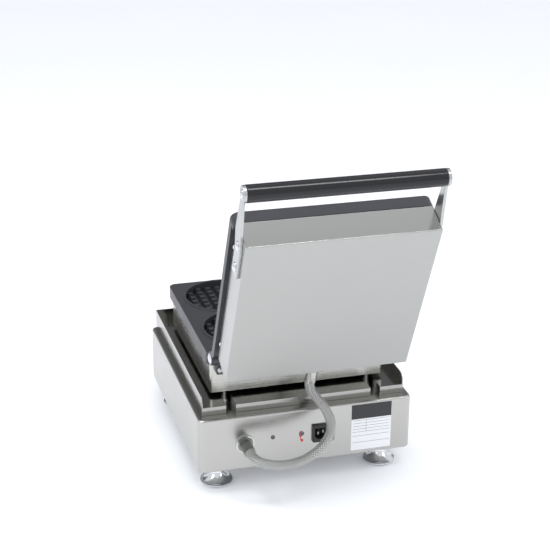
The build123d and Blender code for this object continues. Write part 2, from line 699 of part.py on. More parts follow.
def make_element(z):
    gap = ELEMENT_END_GAP / 2
    outer, inner = element_half, ELEMENT_INNER_HALF_WIDTH
    rear, middle, front = element_rear, element_inner_rear, element_front
    points = [(gap, rear, z), (outer, rear, z), (outer, front, z), (inner, front, z), (inner, middle, z),
              (-inner, middle, z), (-inner, front, z), (-outer, front, z), (-outer, rear, z), (-gap, rear, z)]
    tube = lead(points, ELEMENT_RADIUS, ELEMENT_BEND_RADIUS)
    for side in (-1, 1):
        tube += drum(TERMINAL_RADIUS, TERMINAL_LENGTH + 1, (side * (gap + 1), rear, z), (-side, 0, 0))
    return tube


def make_clamp(z):
    """Steel plate that presses the element against the casting."""
    plate = rounded_block(-clamp_half, clamp_half, element_front - CLAMP_MARGIN,
                          element_rear + CLAMP_MARGIN, z, z + CLAMP_THICKNESS, CLAMP_MARGIN)
    for x, y in clamp_screw_places:
        plate -= drum(CLAMP_SCREW_RADIUS + FIT, CLAMP_THICKNESS + 2, (x, y, z - 1), (0, 0, 1))
    notch = ELEMENT_END_GAP / 2
    return plate - block(-notch, notch, element_rear - 9, element_rear + CLAMP_MARGIN + 1,
                         z - 1, z + CLAMP_THICKNESS + 1)


def make_clamp_screws(z, way):
    """Screws through the clamp into the casting; way is +1 where the casting lies above."""
    length = CLAMP_THICKNESS + 2 * ELEMENT_RADIUS + CLAMP_SCREW_GRIP
    screws = []
    for x, y in clamp_screw_places:
        screw = drum(CLAMP_SCREW_RADIUS, length, (x, y, z), (0, 0, way))
        screws.append(screw + drum(CLAMP_HEAD_RADIUS, CLAMP_HEAD_HEIGHT, (x, y, z), (0, 0, -way)))
    return screws


def make_lower_wool(top):
    gap = WOOL_CLEARANCE
    wool = block(-box_half + BOX_SHEET + gap, box_half - BOX_SHEET - gap, box_front + BOX_SHEET + gap,
                 box_rear - BOX_SHEET - gap, box_floor, top)
    half = WOOL_POCKET / 2
    for x, y in leg_places:
        wool -= block(x - half, x + half, y - half, y + half, box_floor - 1, top + 1)
    wool -= drum(CUTOUT_RADIUS + gap, CUTOUT_HEIGHT, (CUTOUT_X, waffle_centre_y, top + 1), (0, 0, -1))
    return wool


# Lid: inner frame, cover, wool

def frame_bolt_places():
    return [(side * frame_half, y) for side in (-1, 1) for y in (-89, 89)]


def frame_bolt_z():
    return lid_rim_top + LID_FRAME_HEIGHT / 2


def make_lid_frame():
    sheet = LID_FRAME_SHEET
    frame = block(-frame_half, frame_half, frame_front, frame_rear, lid_rim_top, frame_top)
    frame -= block(-frame_half + sheet, frame_half - sheet, frame_front + sheet, frame_rear - sheet,
                   lid_rim_top - 1, frame_top + 1)
    frame -= block(-frame_half - 1, frame_half + 1, frame_front - 1, lip_rear + FIT,
                   lid_rim_top - 1, cover_base)
    notch = FERRULE_NUT_ACROSS + 2
    frame -= block(FERRULE_X - notch, FERRULE_X + notch, frame_rear - 5, frame_rear + 5,
                   ferrule_z - notch, frame_top + 1)
    for x, y in frame_bolt_places():
        frame -= drum(SCREW_RADIUS + FIT, 20, (1.05 * x, y, frame_bolt_z()), (-x, 0, 0))
    for y, z in arm_bolt_places:
        frame -= drum(ARM_BOLT_RADIUS + FIT, 2 * arm_outer, (-arm_outer, y, z), (1, 0, 0))
    return frame


def make_cover():
    cover = block(-cover_half, cover_half, cover_front, cover_rear, cover_base, cover_top)
    uprights = cover.edges().filter_by(Axis.Z)
    rim = cover.faces().sort_by(Axis.Z)[-1].edges()
    cover = fillet(uprights + rim, LID_COVER_EDGE_RADIUS)
    sheet = LID_COVER_SHEET
    cover -= block(-cover_half + sheet, cover_half - sheet, cover_front + sheet, cover_rear - sheet,
                   cover_base - 1, cover_top - sheet)
    cover -= drum(FERRULE_STUB_RADIUS + FIT, 10, (FERRULE_X, cover_rear - 5, ferrule_z), (0, 1, 0))
    for y, z in arm_bolt_places:
        cover -= drum(ARM_BOLT_RADIUS + FIT, 2 * arm_outer, (-arm_outer, y, z), (1, 0, 0))
    return cover


def make_upper_wool(base):
    gap = WOOL_CLEARANCE
    reach = frame_half - LID_FRAME_SHEET - ARM_NUT_HEIGHT - gap - 2
    rear = element_rear - 14
    return block(-reach, reach, frame_front + LID_FRAME_SHEET + gap, rear, base,
                 cover_top - LID_COVER_SHEET)


def make_frame_bolts():
    bolts = []
    for x, y in frame_bolt_places():
        side = math.copysign(1, x)
        bolt = drum(SCREW_RADIUS, 10, (x, y, frame_bolt_z()), (-side, 0, 0))
        head = domed_head(SCREW_HEAD_RADIUS, SCREW_HEAD_HEIGHT, (x, y, frame_bolt_z()), (side, 0, 0))
        bolts.append(bolt + head)
    return bolts


# Handle: a round grip on a rod between two flat arms

def make_arm(side):
    """Flat arm: a bar on the side of the cover that narrows to a round end beside the grip."""
    low, high = sorted((side * cover_half, side * arm_outer))
    top = cover_top - ARM_BELOW_TOP
    base = top - ARM_DEPTH
    tail = cover_front + ARM_TAIL_BACK
    bend = cover_front + ARM_BEND_BACK
    neck = handle_y + ARM_NECK_REACH
    neck_top = handle_z + ARM_NECK_HALF
    neck_base = handle_z - ARM_NECK_HALF
    bar = make_face(Polyline((tail, top), (tail, base), (bend, base), (cover_front, base - ARM_BULGE),
                             (neck, neck_base), (handle_y, neck_base), (handle_y, neck_top), (neck, neck_top),
                             (cover_front, top - ARM_SHOULDER_DROP), (bend, top), (tail, top)))
    outline = fillet(bar.vertices(), ARM_CORNER_RADIUS) + Pos(handle_y, handle_z) * Circle(ARM_END_RADIUS)
    arm = side_plate(outline, low, high)
    faces = arm.faces().filter_by(Axis.X)
    arm = fillet([edge for face in faces for edge in face.edges()], ARM_EDGE_RADIUS)
    arm -= drum(ARM_SCREW_RADIUS + FIT, 30, (low - 10, handle_y, handle_z), (1, 0, 0))
    for y, z in arm_bolt_places:
        arm -= drum(ARM_BOLT_RADIUS + FIT, 30, (low - 10, y, z), (1, 0, 0))
    return arm


def make_grip():
    grip = drum(HANDLE_RADIUS, 2 * cover_half, (-cover_half, handle_y, handle_z), (1, 0, 0))
    grip = fillet(grip.edges().filter_by(GeomType.CIRCLE), HANDLE_EDGE_RADIUS)
    return grip - drum(ROD_RADIUS + FIT, 2 * cover_half + 2, (-cover_half - 1, handle_y, handle_z), (1, 0, 0))


def make_rod():
    rod = drum(ROD_RADIUS, 2 * cover_half, (-cover_half, handle_y, handle_z), (1, 0, 0))
    for side in (-1, 1):
        rod -= drum(ARM_SCREW_RADIUS + FIT, ARM_SCREW_GRIP + 2, (side * cover_half, handle_y, handle_z),
                    (-side, 0, 0))
    return rod


def make_handle_screws():
    screws = []
    for side in (-1, 1):
        start = (side * arm_outer, handle_y, handle_z)
        screw = drum(ARM_SCREW_RADIUS, ARM_THICKNESS + ARM_SCREW_GRIP, start, (-side, 0, 0))
        screws.append(screw + domed_head(ARM_SCREW_HEAD_RADIUS, ARM_SCREW_HEAD_HEIGHT, start, (side, 0, 0)))
    return screws


def make_arm_bolts():
    bolts, nuts = [], []
    through = ARM_THICKNESS + LID_FRAME_INSET + LID_FRAME_SHEET
    for side in (-1, 1):
        for y, z in arm_bolt_places:
            start = (side * arm_outer, y, z)
            bolt = drum(ARM_BOLT_RADIUS, through + ARM_NUT_HEIGHT + 1, start, (-side, 0, 0))
            bolts.append(bolt + domed_head(ARM_BOLT_HEAD_RADIUS, ARM_BOLT_HEAD_HEIGHT, start, (side, 0, 0)))
            inside = (side * (arm_outer - through), y, z)
            nuts.append(nut(ARM_NUT_ACROSS, ARM_NUT_HEIGHT, ARM_BOLT_RADIUS + FIT, inside, (-side, 0, 0)))
    return bolts, nuts


# Braided hose and its fittings

def make_gland():
    axis = (GLAND_X, rear_y, GLAND_HEIGHT)
    bore = GLAND_STUB_RADIUS - 2
    washer = drum(GLAND_WASHER_RADIUS, GLAND_WASHER_THICKNESS, axis, (0, 1, 0))
    washer -= drum(GLAND_STUB_RADIUS + FIT, GLAND_WASHER_THICKNESS, axis, (0, 1, 0))
    face = (GLAND_X, rear_y + GLAND_WASHER_THICKNESS, GLAND_HEIGHT)
    body = hex_bar(GLAND_HEX_ACROSS, GLAND_HEX_HEIGHT, face, (0, 1, 0))
    body += drum(GLAND_SLEEVE_RADIUS, gland_end - face[1], face, (0, 1, 0))
    stub = GLAND_WASHER_THICKNESS + HOUSING_SHEET + GLAND_STUB_LENGTH
    body += drum(GLAND_STUB_RADIUS, stub, face, (0, -1, 0))
    for number in range(3):
        ring_y = face[1] + GLAND_HEX_HEIGHT + 3 + 5 * number
        groove = drum(GLAND_SLEEVE_RADIUS + 1, 1.2, (GLAND_X, ring_y, GLAND_HEIGHT), (0, 1, 0))
        body -= groove - drum(GLAND_SLEEVE_RADIUS - 0.6, 1.2, (GLAND_X, ring_y, GLAND_HEIGHT), (0, 1, 0))
    body -= drum(bore, gland_end - rear_y + 20, (GLAND_X, rear_y - 15, GLAND_HEIGHT), (0, 1, 0))
    inside = (GLAND_X, inner_rear, GLAND_HEIGHT)
    lock = nut(GLAND_HEX_ACROSS, 4, GLAND_STUB_RADIUS + FIT, inside, (0, -1, 0))
    return washer, body, lock


def make_ferrule():
    start = (FERRULE_X, cover_rear, ferrule_z)
    sleeve = drum(FERRULE_RADIUS, FERRULE_LENGTH, start, (0, 1, 0))
    sleeve += drum(FERRULE_STUB_RADIUS, 8, start, (0, -1, 0))
    for number in range(2):
        ring_y = cover_rear + FERRULE_LENGTH - 4 - 5 * number
        groove = drum(FERRULE_RADIUS + 1, 1.2, (FERRULE_X, ring_y, ferrule_z), (0, 1, 0))
        sleeve -= groove - drum(FERRULE_RADIUS - 0.6, 1.2, (FERRULE_X, ring_y, ferrule_z), (0, 1, 0))
    bore = FERRULE_STUB_RADIUS - 1.5
    sleeve -= drum(bore, FERRULE_LENGTH + 20, (FERRULE_X, cover_rear - 10, ferrule_z), (0, 1, 0))
    lock = nut(FERRULE_NUT_ACROSS, 4, FERRULE_STUB_RADIUS + FIT,
               (FERRULE_X, cover_rear - LID_COVER_SHEET, ferrule_z), (0, -1, 0))
    return sleeve, lock


def opened(y, z):
    """Where a point of the closed lid lies with the lid open."""
    turn = math.radians(LID_OPENING)
    dy, dz = y - hinge_y, z - hinge_z
    return (hinge_y + dy * math.cos(turn) + dz * math.sin(turn),
            hinge_z - dy * math.sin(turn) + dz * math.cos(turn))


def hose_route():
    """From the gland in the rear panel, round in one loose loop, up to the lid's ferrule."""
    end_y, end_z = opened(cover_rear + FERRULE_LENGTH, ferrule_z)
    out_y, out_z = opened(cover_rear + FERRULE_LENGTH + HOSE_LEAD_OUT, ferrule_z)
    return [(GLAND_X, gland_end, GLAND_HEIGHT), (GLAND_X, gland_end + HOSE_FIRST_RUN, GLAND_HEIGHT),
            *HOSE_LOOP, (FERRULE_X, out_y, out_z), (FERRULE_X, end_y, end_z)]


def make_hose():
    points = [Vector(*point) for point in hose_route()]
    radii = []
    for before, here, after in zip(points, points[1:], points[2:]):
        first, second = here - before, after - here
        turn = math.radians(first.get_angle(second))
        radii.append(0.45 * min(first.length, second.length) / math.tan(turn / 2))
    path = FilletPolyline(*points, radius=radii)
    ring = Plane(origin=path @ 0, z_dir=path % 0) * Circle(HOSE_RADIUS)
    hose = sweep(ring, path=path)
    section = math.pi * HOSE_RADIUS ** 2
    print("hose radii", [round(value, 1) for value in radii])
    print("hose length", round(path.length, 1), "volume over section times length",
          round(hose.volume / section / path.length, 4))
    return hose


# Mains inlet, rear screws and rating plate

def make_inlet():
    half_w, half_h = INLET_FLANGE_WIDTH / 2, INLET_FLANGE_HEIGHT / 2
    face_y = rear_y + INLET_FLANGE_THICKNESS
    flange = block(INLET_X - half_w, INLET_X + half_w, rear_y, face_y,
                   INLET_HEIGHT - half_h, INLET_HEIGHT + half_h)
    low_corners = [edge for edge in flange.edges().filter_by(Axis.Y) if edge.center().Z < INLET_HEIGHT]
    flange = chamfer(low_corners, INLET_FLANGE_CHAMFER)
    body_y = face_y - INLET_CAVITY_DEPTH - INLET_WALL
    body = block(INLET_X - INLET_BODY_WIDTH / 2, INLET_X + INLET_BODY_WIDTH / 2, body_y, rear_y,
                 INLET_HEIGHT - INLET_BODY_HEIGHT / 2, INLET_HEIGHT + INLET_BODY_HEIGHT / 2)
    cavity = block(INLET_X - INLET_CAVITY_WIDTH / 2, INLET_X + INLET_CAVITY_WIDTH / 2,
                   face_y - INLET_CAVITY_DEPTH, face_y + 1,
                   INLET_HEIGHT - INLET_CAVITY_HEIGHT / 2, INLET_HEIGHT + INLET_CAVITY_HEIGHT / 2)
    cavity_corners = [edge for edge in cavity.edges().filter_by(Axis.Y) if edge.center().Z < INLET_HEIGHT]
    socket = flange + body - chamfer(cavity_corners, INLET_CAVITY_CHAMFER)
    pins = []
    for x, rise in ((-PIN_SPACING, 0), (0, PIN_EARTH_RISE), (PIN_SPACING, 0)):
        pin = block(INLET_X + x - PIN_WIDTH / 2, INLET_X + x + PIN_WIDTH / 2, body_y - PIN_TAIL, face_y - 2,
                    INLET_HEIGHT + rise - PIN_TALL / 2, INLET_HEIGHT + rise + PIN_TALL / 2)
        socket -= pin
        pins.append(pin)
    return socket, pins


def make_rear_screws():
    screws = []
    for x in REAR_SCREW_XS:
        start = (x, rear_y, REAR_SCREW_HEIGHT)
        screw = drum(REAR_SCREW_RADIUS, SCREW_LENGTH, start, (0, -1, 0))
        head = domed_head(REAR_SCREW_HEAD_RADIUS, REAR_SCREW_HEAD_HEIGHT, start, (0, 1, 0))
        top = rear_y + REAR_SCREW_HEAD_HEIGHT
        for angle in (0, 90):
            slot = Pos(x, top, REAR_SCREW_HEIGHT) * Rot(0, angle, 0) * Box(0.8, 1.6, 2.6)
            head -= slot
        screws.append(screw + head)
    return screws


def make_lacquer():
    """Red locking lacquer: brushed round one side of the second screw and run down into a drop."""
    x, z = REAR_SCREW_XS[1], REAR_SCREW_HEIGHT
    inner = REAR_SCREW_HEAD_RADIUS + FIT
    outer = inner + LACQUER_RING_WIDTH
    drop_z = z - LACQUER_DROP_BELOW
    head = drum(inner, LACQUER_THICKNESS, (x, rear_y, z), (0, 1, 0))
    ring = drum(outer, LACQUER_THICKNESS, (x, rear_y, z), (0, 1, 0))
    ring &= block(x + LACQUER_RING_START, x + 2 * outer, rear_y, rear_y + 1, z - 2 * outer, z + 2 * outer)
    run = make_face(Polyline((x + inner, z), (x + outer, z), (x + LACQUER_DROP_RADIUS, drop_z), (x, drop_z),
                             (x + inner, z)))
    run = extrude(Plane(origin=(0, rear_y, 0), x_dir=(1, 0, 0), z_dir=(0, -1, 0)) * run,
                  amount=LACQUER_THICKNESS, dir=(0, 1, 0))
    drop = drum(LACQUER_DROP_RADIUS, LACQUER_THICKNESS, (x, rear_y, drop_z), (0, 1, 0))
    return ring + run + drop - head


def make_label():
    half = LABEL_WIDTH / 2
    return block(label_x - half, label_x + half, rear_y, rear_y + LABEL_THICKNESS,
                 LABEL_LOW_EDGE, LABEL_LOW_EDGE + LABEL_HEIGHT)


# Front controls

def control_holes(wall_y):
    """Holes through the front wall and fascia for the controls."""
    start = wall_y - 5
    holes = [drum(BUSH_RADIUS + FIT, 10, (thermostat_x, start, CONTROL_HEIGHT), (0, 1, 0))]
    holes += [drum(LAMP_RADIUS + FIT, 10, (x, start, CONTROL_HEIGHT), (0, 1, 0)) for x in lamp_xs]
    half_w, half_h = switch_half_sizes()
    holes.append(block(switch_x - half_w - FIT, switch_x + half_w + FIT, start, start + 10,
                       CONTROL_HEIGHT - half_h - FIT, CONTROL_HEIGHT + half_h + FIT))
    return holes


def switch_half_sizes():
    swing = math.hypot(ROCKER_HALF_HEIGHT, ROCKER_PROUD) + AIR
    return ROCKER_HALF_WIDTH + AIR + SWITCH_WALL, swing + SWITCH_WALL


def make_fascia():
    outline = RectangleRounded(fascia_width, FASCIA_HEIGHT, FASCIA_CORNER_RADIUS)
    face = Plane(origin=(0, front_y, CONTROL_HEIGHT), x_dir=(1, 0, 0), z_dir=(0, -1, 0)) * outline
    fascia = extrude(face, amount=FASCIA_THICKNESS, dir=(0, -1, 0))
    for hole in control_holes(front_y):
        fascia -= hole
    return fascia


def make_thermostat():
    """Thermostat behind the front wall, with a threaded bush that its spindle turns in."""
    x, half_w, half_h = thermostat_x, THERMOSTAT_BODY_WIDTH / 2, THERMOSTAT_BODY_HEIGHT / 2
    case = block(x - half_w, x + half_w, inner_front, inner_front + THERMOSTAT_BODY_DEPTH,
                 CONTROL_HEIGHT - half_h, CONTROL_HEIGHT + half_h)
    bush = drum(BUSH_RADIUS, inner_front - fascia_front, (x, fascia_front, CONTROL_HEIGHT), (0, 1, 0))
    bore = drum(SPINDLE_RADIUS + RUN, inner_front - fascia_front + SPINDLE_IN_BODY + AIR,
                (x, fascia_front - 1, CONTROL_HEIGHT), (0, 1, 0))
    return case + bush - bore


def make_spindle(x):
    start = fascia_front - AIR - SPINDLE_IN_KNOB
    length = SPINDLE_IN_KNOB + AIR + (inner_front - fascia_front) + SPINDLE_IN_BODY - 1 - AIR
    return drum(SPINDLE_RADIUS, length, (x, start, CONTROL_HEIGHT), (0, 1, 0))


def make_knob(x):
    base = fascia_front - AIR
    knob = drum(KNOB_RADIUS, KNOB_LENGTH, (x, base, CONTROL_HEIGHT), (0, -1, 0))
    knob = fillet(knob.faces().sort_by(Axis.Y)[0].edges(), 1.5)
    for number in range(KNOB_GRIP_COUNT):
        angle = 2 * math.pi * (number + 0.5) / KNOB_GRIP_COUNT
        centre = (x + KNOB_RADIUS * math.cos(angle), base - KNOB_SKIRT_HEIGHT,
                  CONTROL_HEIGHT + KNOB_RADIUS * math.sin(angle))
        knob -= drum(KNOB_GRIP_RADIUS, KNOB_LENGTH, centre, (0, -1, 0))
    knob += drum(KNOB_SKIRT_RADIUS, KNOB_SKIRT_HEIGHT, (x, base, CONTROL_HEIGHT), (0, -1, 0))
    hub = drum(SPINDLE_RADIUS + 4, KNOB_SHELL_DEPTH, (x, base, CONTROL_HEIGHT), (0, -1, 0))
    knob -= drum(KNOB_RADIUS - 3, KNOB_SHELL_DEPTH, (x, base, CONTROL_HEIGHT), (0, -1, 0)) - hub
    knob -= drum(SPINDLE_RADIUS + FIT, SPINDLE_IN_KNOB + FIT, (x, base, CONTROL_HEIGHT), (0, -1, 0))
    groove = block(x - POINTER_WIDTH / 2, x + POINTER_WIDTH / 2, base - KNOB_LENGTH - 1,
                   base - KNOB_LENGTH + 0.8, CONTROL_HEIGHT + 4, CONTROL_HEIGHT + KNOB_SKIRT_RADIUS)
    return knob - groove


def make_lens(x):
    lens = drum(LAMP_LENS_RADIUS, LAMP_BEZEL_HEIGHT, (x, fascia_front, CONTROL_HEIGHT), (0, -1, 0))
    front = (x, fascia_front - LAMP_BEZEL_HEIGHT, CONTROL_HEIGHT)
    return lens + domed_head(LAMP_LENS_RADIUS, LAMP_DOME, front, (0, -1, 0))


def make_lamp_holder(x):
    start = (x, fascia_front, CONTROL_HEIGHT)
    body = drum(LAMP_BEZEL_RADIUS, LAMP_BEZEL_HEIGHT, start, (0, -1, 0))
    body += drum(LAMP_RADIUS, LAMP_BODY_LENGTH, start, (0, 1, 0))
    return body - drum(LAMP_LENS_RADIUS, LAMP_BEZEL_HEIGHT, start, (0, -1, 0))


def make_switch():
    half_w, half_h = switch_half_sizes()
    bezel_h = half_h + SWITCH_BEZEL_MARGIN
    frame = block(switch_x - SWITCH_BEZEL_WIDTH / 2, switch_x + SWITCH_BEZEL_WIDTH / 2,
                  fascia_front - SWITCH_BEZEL_THICKNESS, fascia_front,
                  CONTROL_HEIGHT - bezel_h, CONTROL_HEIGHT + bezel_h)
    frame += block(switch_x - half_w, switch_x + half_w, fascia_front, fascia_front + SWITCH_BODY_DEPTH,
                   CONTROL_HEIGHT - half_h, CONTROL_HEIGHT + half_h)
    frame -= block(switch_x - half_w + SWITCH_WALL, switch_x + half_w - SWITCH_WALL,
                   fascia_front - SWITCH_BEZEL_THICKNESS - 1, rocker_pivot_y() + 9,
                   CONTROL_HEIGHT - half_h + SWITCH_WALL, CONTROL_HEIGHT + half_h - SWITCH_WALL)
    frame -= drum(ROCKER_TRUNNION_RADIUS + RUN, 2 * half_w - SWITCH_WALL,
                  (switch_x - half_w + SWITCH_WALL / 2, rocker_pivot_y(), CONTROL_HEIGHT), (1, 0, 0))
    return frame


def rocker_pivot_y():
    return fascia_front + 3


def make_rocker():
    """Rocker in its off position: the lower half stands proud."""
    y, z = rocker_pivot_y(), CONTROL_HEIGHT
    proud, half = ROCKER_PROUD, ROCKER_HALF_HEIGHT
    front = y - proud
    outline = make_face(Polyline((front, z - half), (front + ROCKER_DISH, z), (front, z + half),
                                 (y + 1, z + half - 1), (y + 5, z), (y + 1, z - half + 1), (front, z - half)))
    rocker = side_plate(outline, switch_x - ROCKER_HALF_WIDTH, switch_x + ROCKER_HALF_WIDTH)
    length = 2 * (ROCKER_HALF_WIDTH + AIR) + SWITCH_WALL - 2 * AIR
    rocker += drum(ROCKER_TRUNNION_RADIUS, length, (switch_x - length / 2, y, z), (1, 0, 0))
    return rocker.rotate(Axis((0, y, z), (1, 0, 0)), ROCKER_TILT)


def make_terminal_block():
    half = TERMINAL_BLOCK_LENGTH / 2
    x, y = TERMINAL_BLOCK_X, TERMINAL_BLOCK_Y
    strip = block(x - half, x + half, y - TERMINAL_BLOCK_WIDTH / 2, y + TERMINAL_BLOCK_WIDTH / 2,
                  shell_base, shell_base + TERMINAL_BLOCK_HEIGHT)
    pitch = TERMINAL_BLOCK_LENGTH / TERMINAL_WAYS
    for number in range(1, TERMINAL_WAYS):
        cut_x = x - half + number * pitch
        strip -= block(cut_x - 0.75, cut_x + 0.75, y - TERMINAL_BLOCK_WIDTH, y + TERMINAL_BLOCK_WIDTH,
                       shell_base + 7, shell_base + TERMINAL_BLOCK_HEIGHT + 1)
    return strip


# Wiring and sensing

def make_capillary():
    """Bulb under the lower plate, with its tube from the thermostat up inside the hollow front leg."""
    leg_y = box_front + LEG_END_INSET
    bulb_z = box_top - BULB_RADIUS - FIT
    bulb_y = waffle_centre_y - BULB_LENGTH / 2
    exit_y = inner_front + THERMOSTAT_BODY_DEPTH * 0.6
    exit_z = CONTROL_HEIGHT + THERMOSTAT_BODY_HEIGHT * 0.3
    tube = lead([(thermostat_x + THERMOSTAT_BODY_WIDTH / 2, exit_y, exit_z), (leg_x, exit_y, exit_z),
                 (leg_x, leg_y, exit_z), (leg_x, leg_y, bulb_z), (BULB_X, leg_y, bulb_z),
                 (BULB_X, bulb_y, bulb_z)], CAPILLARY_RADIUS, LEAD_BEND_RADIUS)
    return tube + drum(BULB_RADIUS, BULB_LENGTH, (BULB_X, bulb_y, bulb_z), (0, 1, 0))


def make_lower_leads(z):
    """Two leads from the element's ends, down inside the hollow rear legs, to the terminal block."""
    leg_y = box_rear - LEG_END_INSET
    start_x = ELEMENT_END_GAP / 2 - TERMINAL_LENGTH
    lane = box_rear - BOX_SHEET - 2 * LEAD_RADIUS - 1
    block_top = shell_base + TERMINAL_BLOCK_HEIGHT
    leads = []
    for side in (-1, 1):
        end_x = TERMINAL_BLOCK_X + side * TERMINAL_BLOCK_LENGTH * 0.4
        leads.append(lead([(side * start_x, element_rear, z), (side * 3, element_rear, z),
                           (side * 3, lane, z), (side * leg_x, lane, z), (side * leg_x, leg_y, z - 12),
                           (side * leg_x, leg_y, deck_under - 26), (end_x, TERMINAL_BLOCK_Y, deck_under - 26),
                           (end_x, TERMINAL_BLOCK_Y, block_top)], LEAD_RADIUS, 2.4))
    return leads


def make_supply_leads(pin_end_y):
    """Leads from the inlet's outer pins to the power switch."""
    half_w, half_h = switch_half_sizes()
    end_y = fascia_front + SWITCH_BODY_DEPTH
    leads = []
    for number, side in enumerate((-1, 1)):
        start = (INLET_X + side * PIN_SPACING, pin_end_y, INLET_HEIGHT)
        low = INLET_HEIGHT - 12 + 6 * number
        lane = switch_x + side * 4
        leads.append(lead([start, (start[0], pin_end_y - 14, start[2]), (lane, pin_end_y - 60, low),
                           (lane, end_y + 30, low), (lane, end_y, CONTROL_HEIGHT - 6 + 6 * number)],
                          LEAD_RADIUS, LEAD_BEND_RADIUS))
    return leads


def make_hose_leads():
    """Leads of the upper element between the gland and the terminal block."""
    block_top = shell_base + TERMINAL_BLOCK_HEIGHT
    start_y = rear_y + GLAND_WASHER_THICKNESS - 4
    leads = []
    for side in (-1, 1):
        end_x = TERMINAL_BLOCK_X + side * TERMINAL_BLOCK_LENGTH * 0.2
        lane = GLAND_X + 2 * side
        end_y = TERMINAL_BLOCK_Y + 4
        leads.append(lead([(lane, start_y, GLAND_HEIGHT), (lane, start_y - 30, GLAND_HEIGHT),
                           (end_x, end_y, GLAND_HEIGHT), (end_x, end_y, block_top)],
                          LEAD_RADIUS, LEAD_BEND_RADIUS))
    return leads


def make_lid_leads(z):
    """Leads between the lid's ferrule and the upper element's ends."""
    start_x = ELEMENT_END_GAP / 2 - TERMINAL_LENGTH
    leads = []
    for side in (-1, 1):
        inside_x = FERRULE_X + 1.4 * side
        leads.append(lead([(side * start_x, element_rear, z), (side * 4.5, element_rear, z),
                           (side * 4.5, element_rear, ferrule_z - 14), (inside_x, element_rear, ferrule_z),
                           (inside_x, cover_rear - 4, ferrule_z)], LEAD_RADIUS, 2.4))
    return leads


def make_base():
    keep("housing_shell", make_housing())
    keep("bottom_plate", make_bottom())
    keep("bottom_screws", *make_bottom_screws())
    make_feet()
    keep("support_legs", *[make_leg(x, y) for x, y in leg_places])
    keep("leg_nuts", *make_leg_nuts())
    keep("lower_heater_box", make_lower_box())
    keep("hinge_brackets", make_bracket(-1), make_bracket(1))
    keep("hinge_pins", make_hinge_pin(-1), make_hinge_pin(1))
    keep("bracket_screws", *make_bracket_screws())


def make_lower_heating():
    element_z = box_top - ELEMENT_RADIUS - FIT
    clamp_z = element_z - ELEMENT_RADIUS - FIT - CLAMP_THICKNESS
    keep("lower_element", make_element(element_z))
    keep("lower_clamp_plate", make_clamp(clamp_z))
    keep("lower_clamp_screws", *make_clamp_screws(clamp_z, 1))
    keep("lower_mineral_wool", make_lower_wool(clamp_z - CLAMP_HEAD_HEIGHT - FIT))
    cutout_seat = (CUTOUT_X, waffle_centre_y, clamp_z)
    keep("overheat_cutout", drum(CUTOUT_RADIUS, CUTOUT_HEIGHT, cutout_seat, (0, 0, -1)))


def make_rear_fittings():
    washer, body, lock = make_gland()
    keep("gland_washer", washer)
    keep("hose_gland", body)
    keep("gland_locknut", lock)
    socket, pins = make_inlet()
    keep("inlet_socket", socket)
    keep("inlet_pins", *pins)
    keep("rear_screws", *make_rear_screws())
    keep("locking_lacquer", make_lacquer())
    keep("rating_plate", make_label())
    pin_end = rear_y + INLET_FLANGE_THICKNESS - INLET_CAVITY_DEPTH - INLET_WALL - PIN_TAIL
    element_z = box_top - ELEMENT_RADIUS - FIT
    keep("base_leads", *make_lower_leads(element_z), *make_supply_leads(pin_end), *make_hose_leads())


def make_controls():
    keep("control_fascia", make_fascia())
    keep("thermostat_body", make_thermostat())
    keep("thermostat_bulb", make_capillary())
    keep("thermostat_spindle", make_spindle(thermostat_x))
    keep("thermostat_knob", make_knob(thermostat_x))
    keep("lamp_holders", *[make_lamp_holder(x) for x in lamp_xs])
    for x, name in zip(lamp_xs, ("power", "heating")):
        keep(name + "_lamp_lens", make_lens(x))
    keep("switch_frame", make_switch())
    keep("power_rocker", make_rocker())
    keep("terminal_block", make_terminal_block())


def make_lid():
    keep_lid("lid_frame", make_lid_frame())
    keep_lid("lid_cover", make_cover())
    element_z = lid_cast_top + ELEMENT_RADIUS + FIT
    clamp_z = element_z + ELEMENT_RADIUS + FIT
    keep_lid("upper_element", make_element(element_z))
    keep_lid("upper_clamp_plate", make_clamp(clamp_z))
    keep_lid("upper_clamp_screws", *make_clamp_screws(clamp_z + CLAMP_THICKNESS, -1))
    keep_lid("upper_mineral_wool", make_upper_wool(clamp_z + CLAMP_THICKNESS + CLAMP_HEAD_HEIGHT + FIT))
    keep_lid("lid_leads", *make_lid_leads(element_z))
    keep_lid("frame_bolts", *make_frame_bolts())
    keep_lid("handle_arms", make_arm(-1), make_arm(1))
    keep_lid("handle_grip", make_grip())
    keep_lid("handle_rod", make_rod())
    keep_lid("handle_screws", *make_handle_screws())
    bolts, nuts = make_arm_bolts()
    keep_lid("arm_bolts", *bolts)
    keep_lid("arm_nuts", *nuts)
    sleeve, lock = make_ferrule()
    keep_lid("hose_ferrule", sleeve)
    keep_lid("ferrule_locknut", lock)


make_base()
lower_plate = make_cooking_plate()
keep("lower_plate", lower_plate)
keep_lid("upper_plate", make_upper_plate(lower_plate))
make_lower_heating()
keep("drip_tray", make_tray())
make_rear_fittings()
make_controls()
make_lid()
keep("braided_hose", make_hose())

# The origin goes under the middle of the whole part, on the surface that it stands on
boxes = [shape.bounding_box() for name, shape in nodes.items() if name != "braided_hose"]
middle_y = (min(box.min.Y for box in boxes) + max(box.max.Y for box in boxes)) / 2

os.makedirs("parts", exist_ok=True)
for name, shape in nodes.items():
    export_step(shape.moved(Location((0, -middle_y, 0))), "parts/" + name + ".step")

print("nodes", len(nodes), "shift", round(middle_y, 3))
print("hinge y", round(hinge_y - middle_y, 3), "z", round(hinge_z, 3))
print("rocker pivot y", round(rocker_pivot_y() - middle_y, 3), "fascia y", round(fascia_front - middle_y, 3))
print("hose route", [tuple(round(value, 1) for value in (x, y - middle_y, z)) for x, y, z in hose_route()])
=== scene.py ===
import math

import bpy
import numpy as np
from mathutils import Matrix, Vector


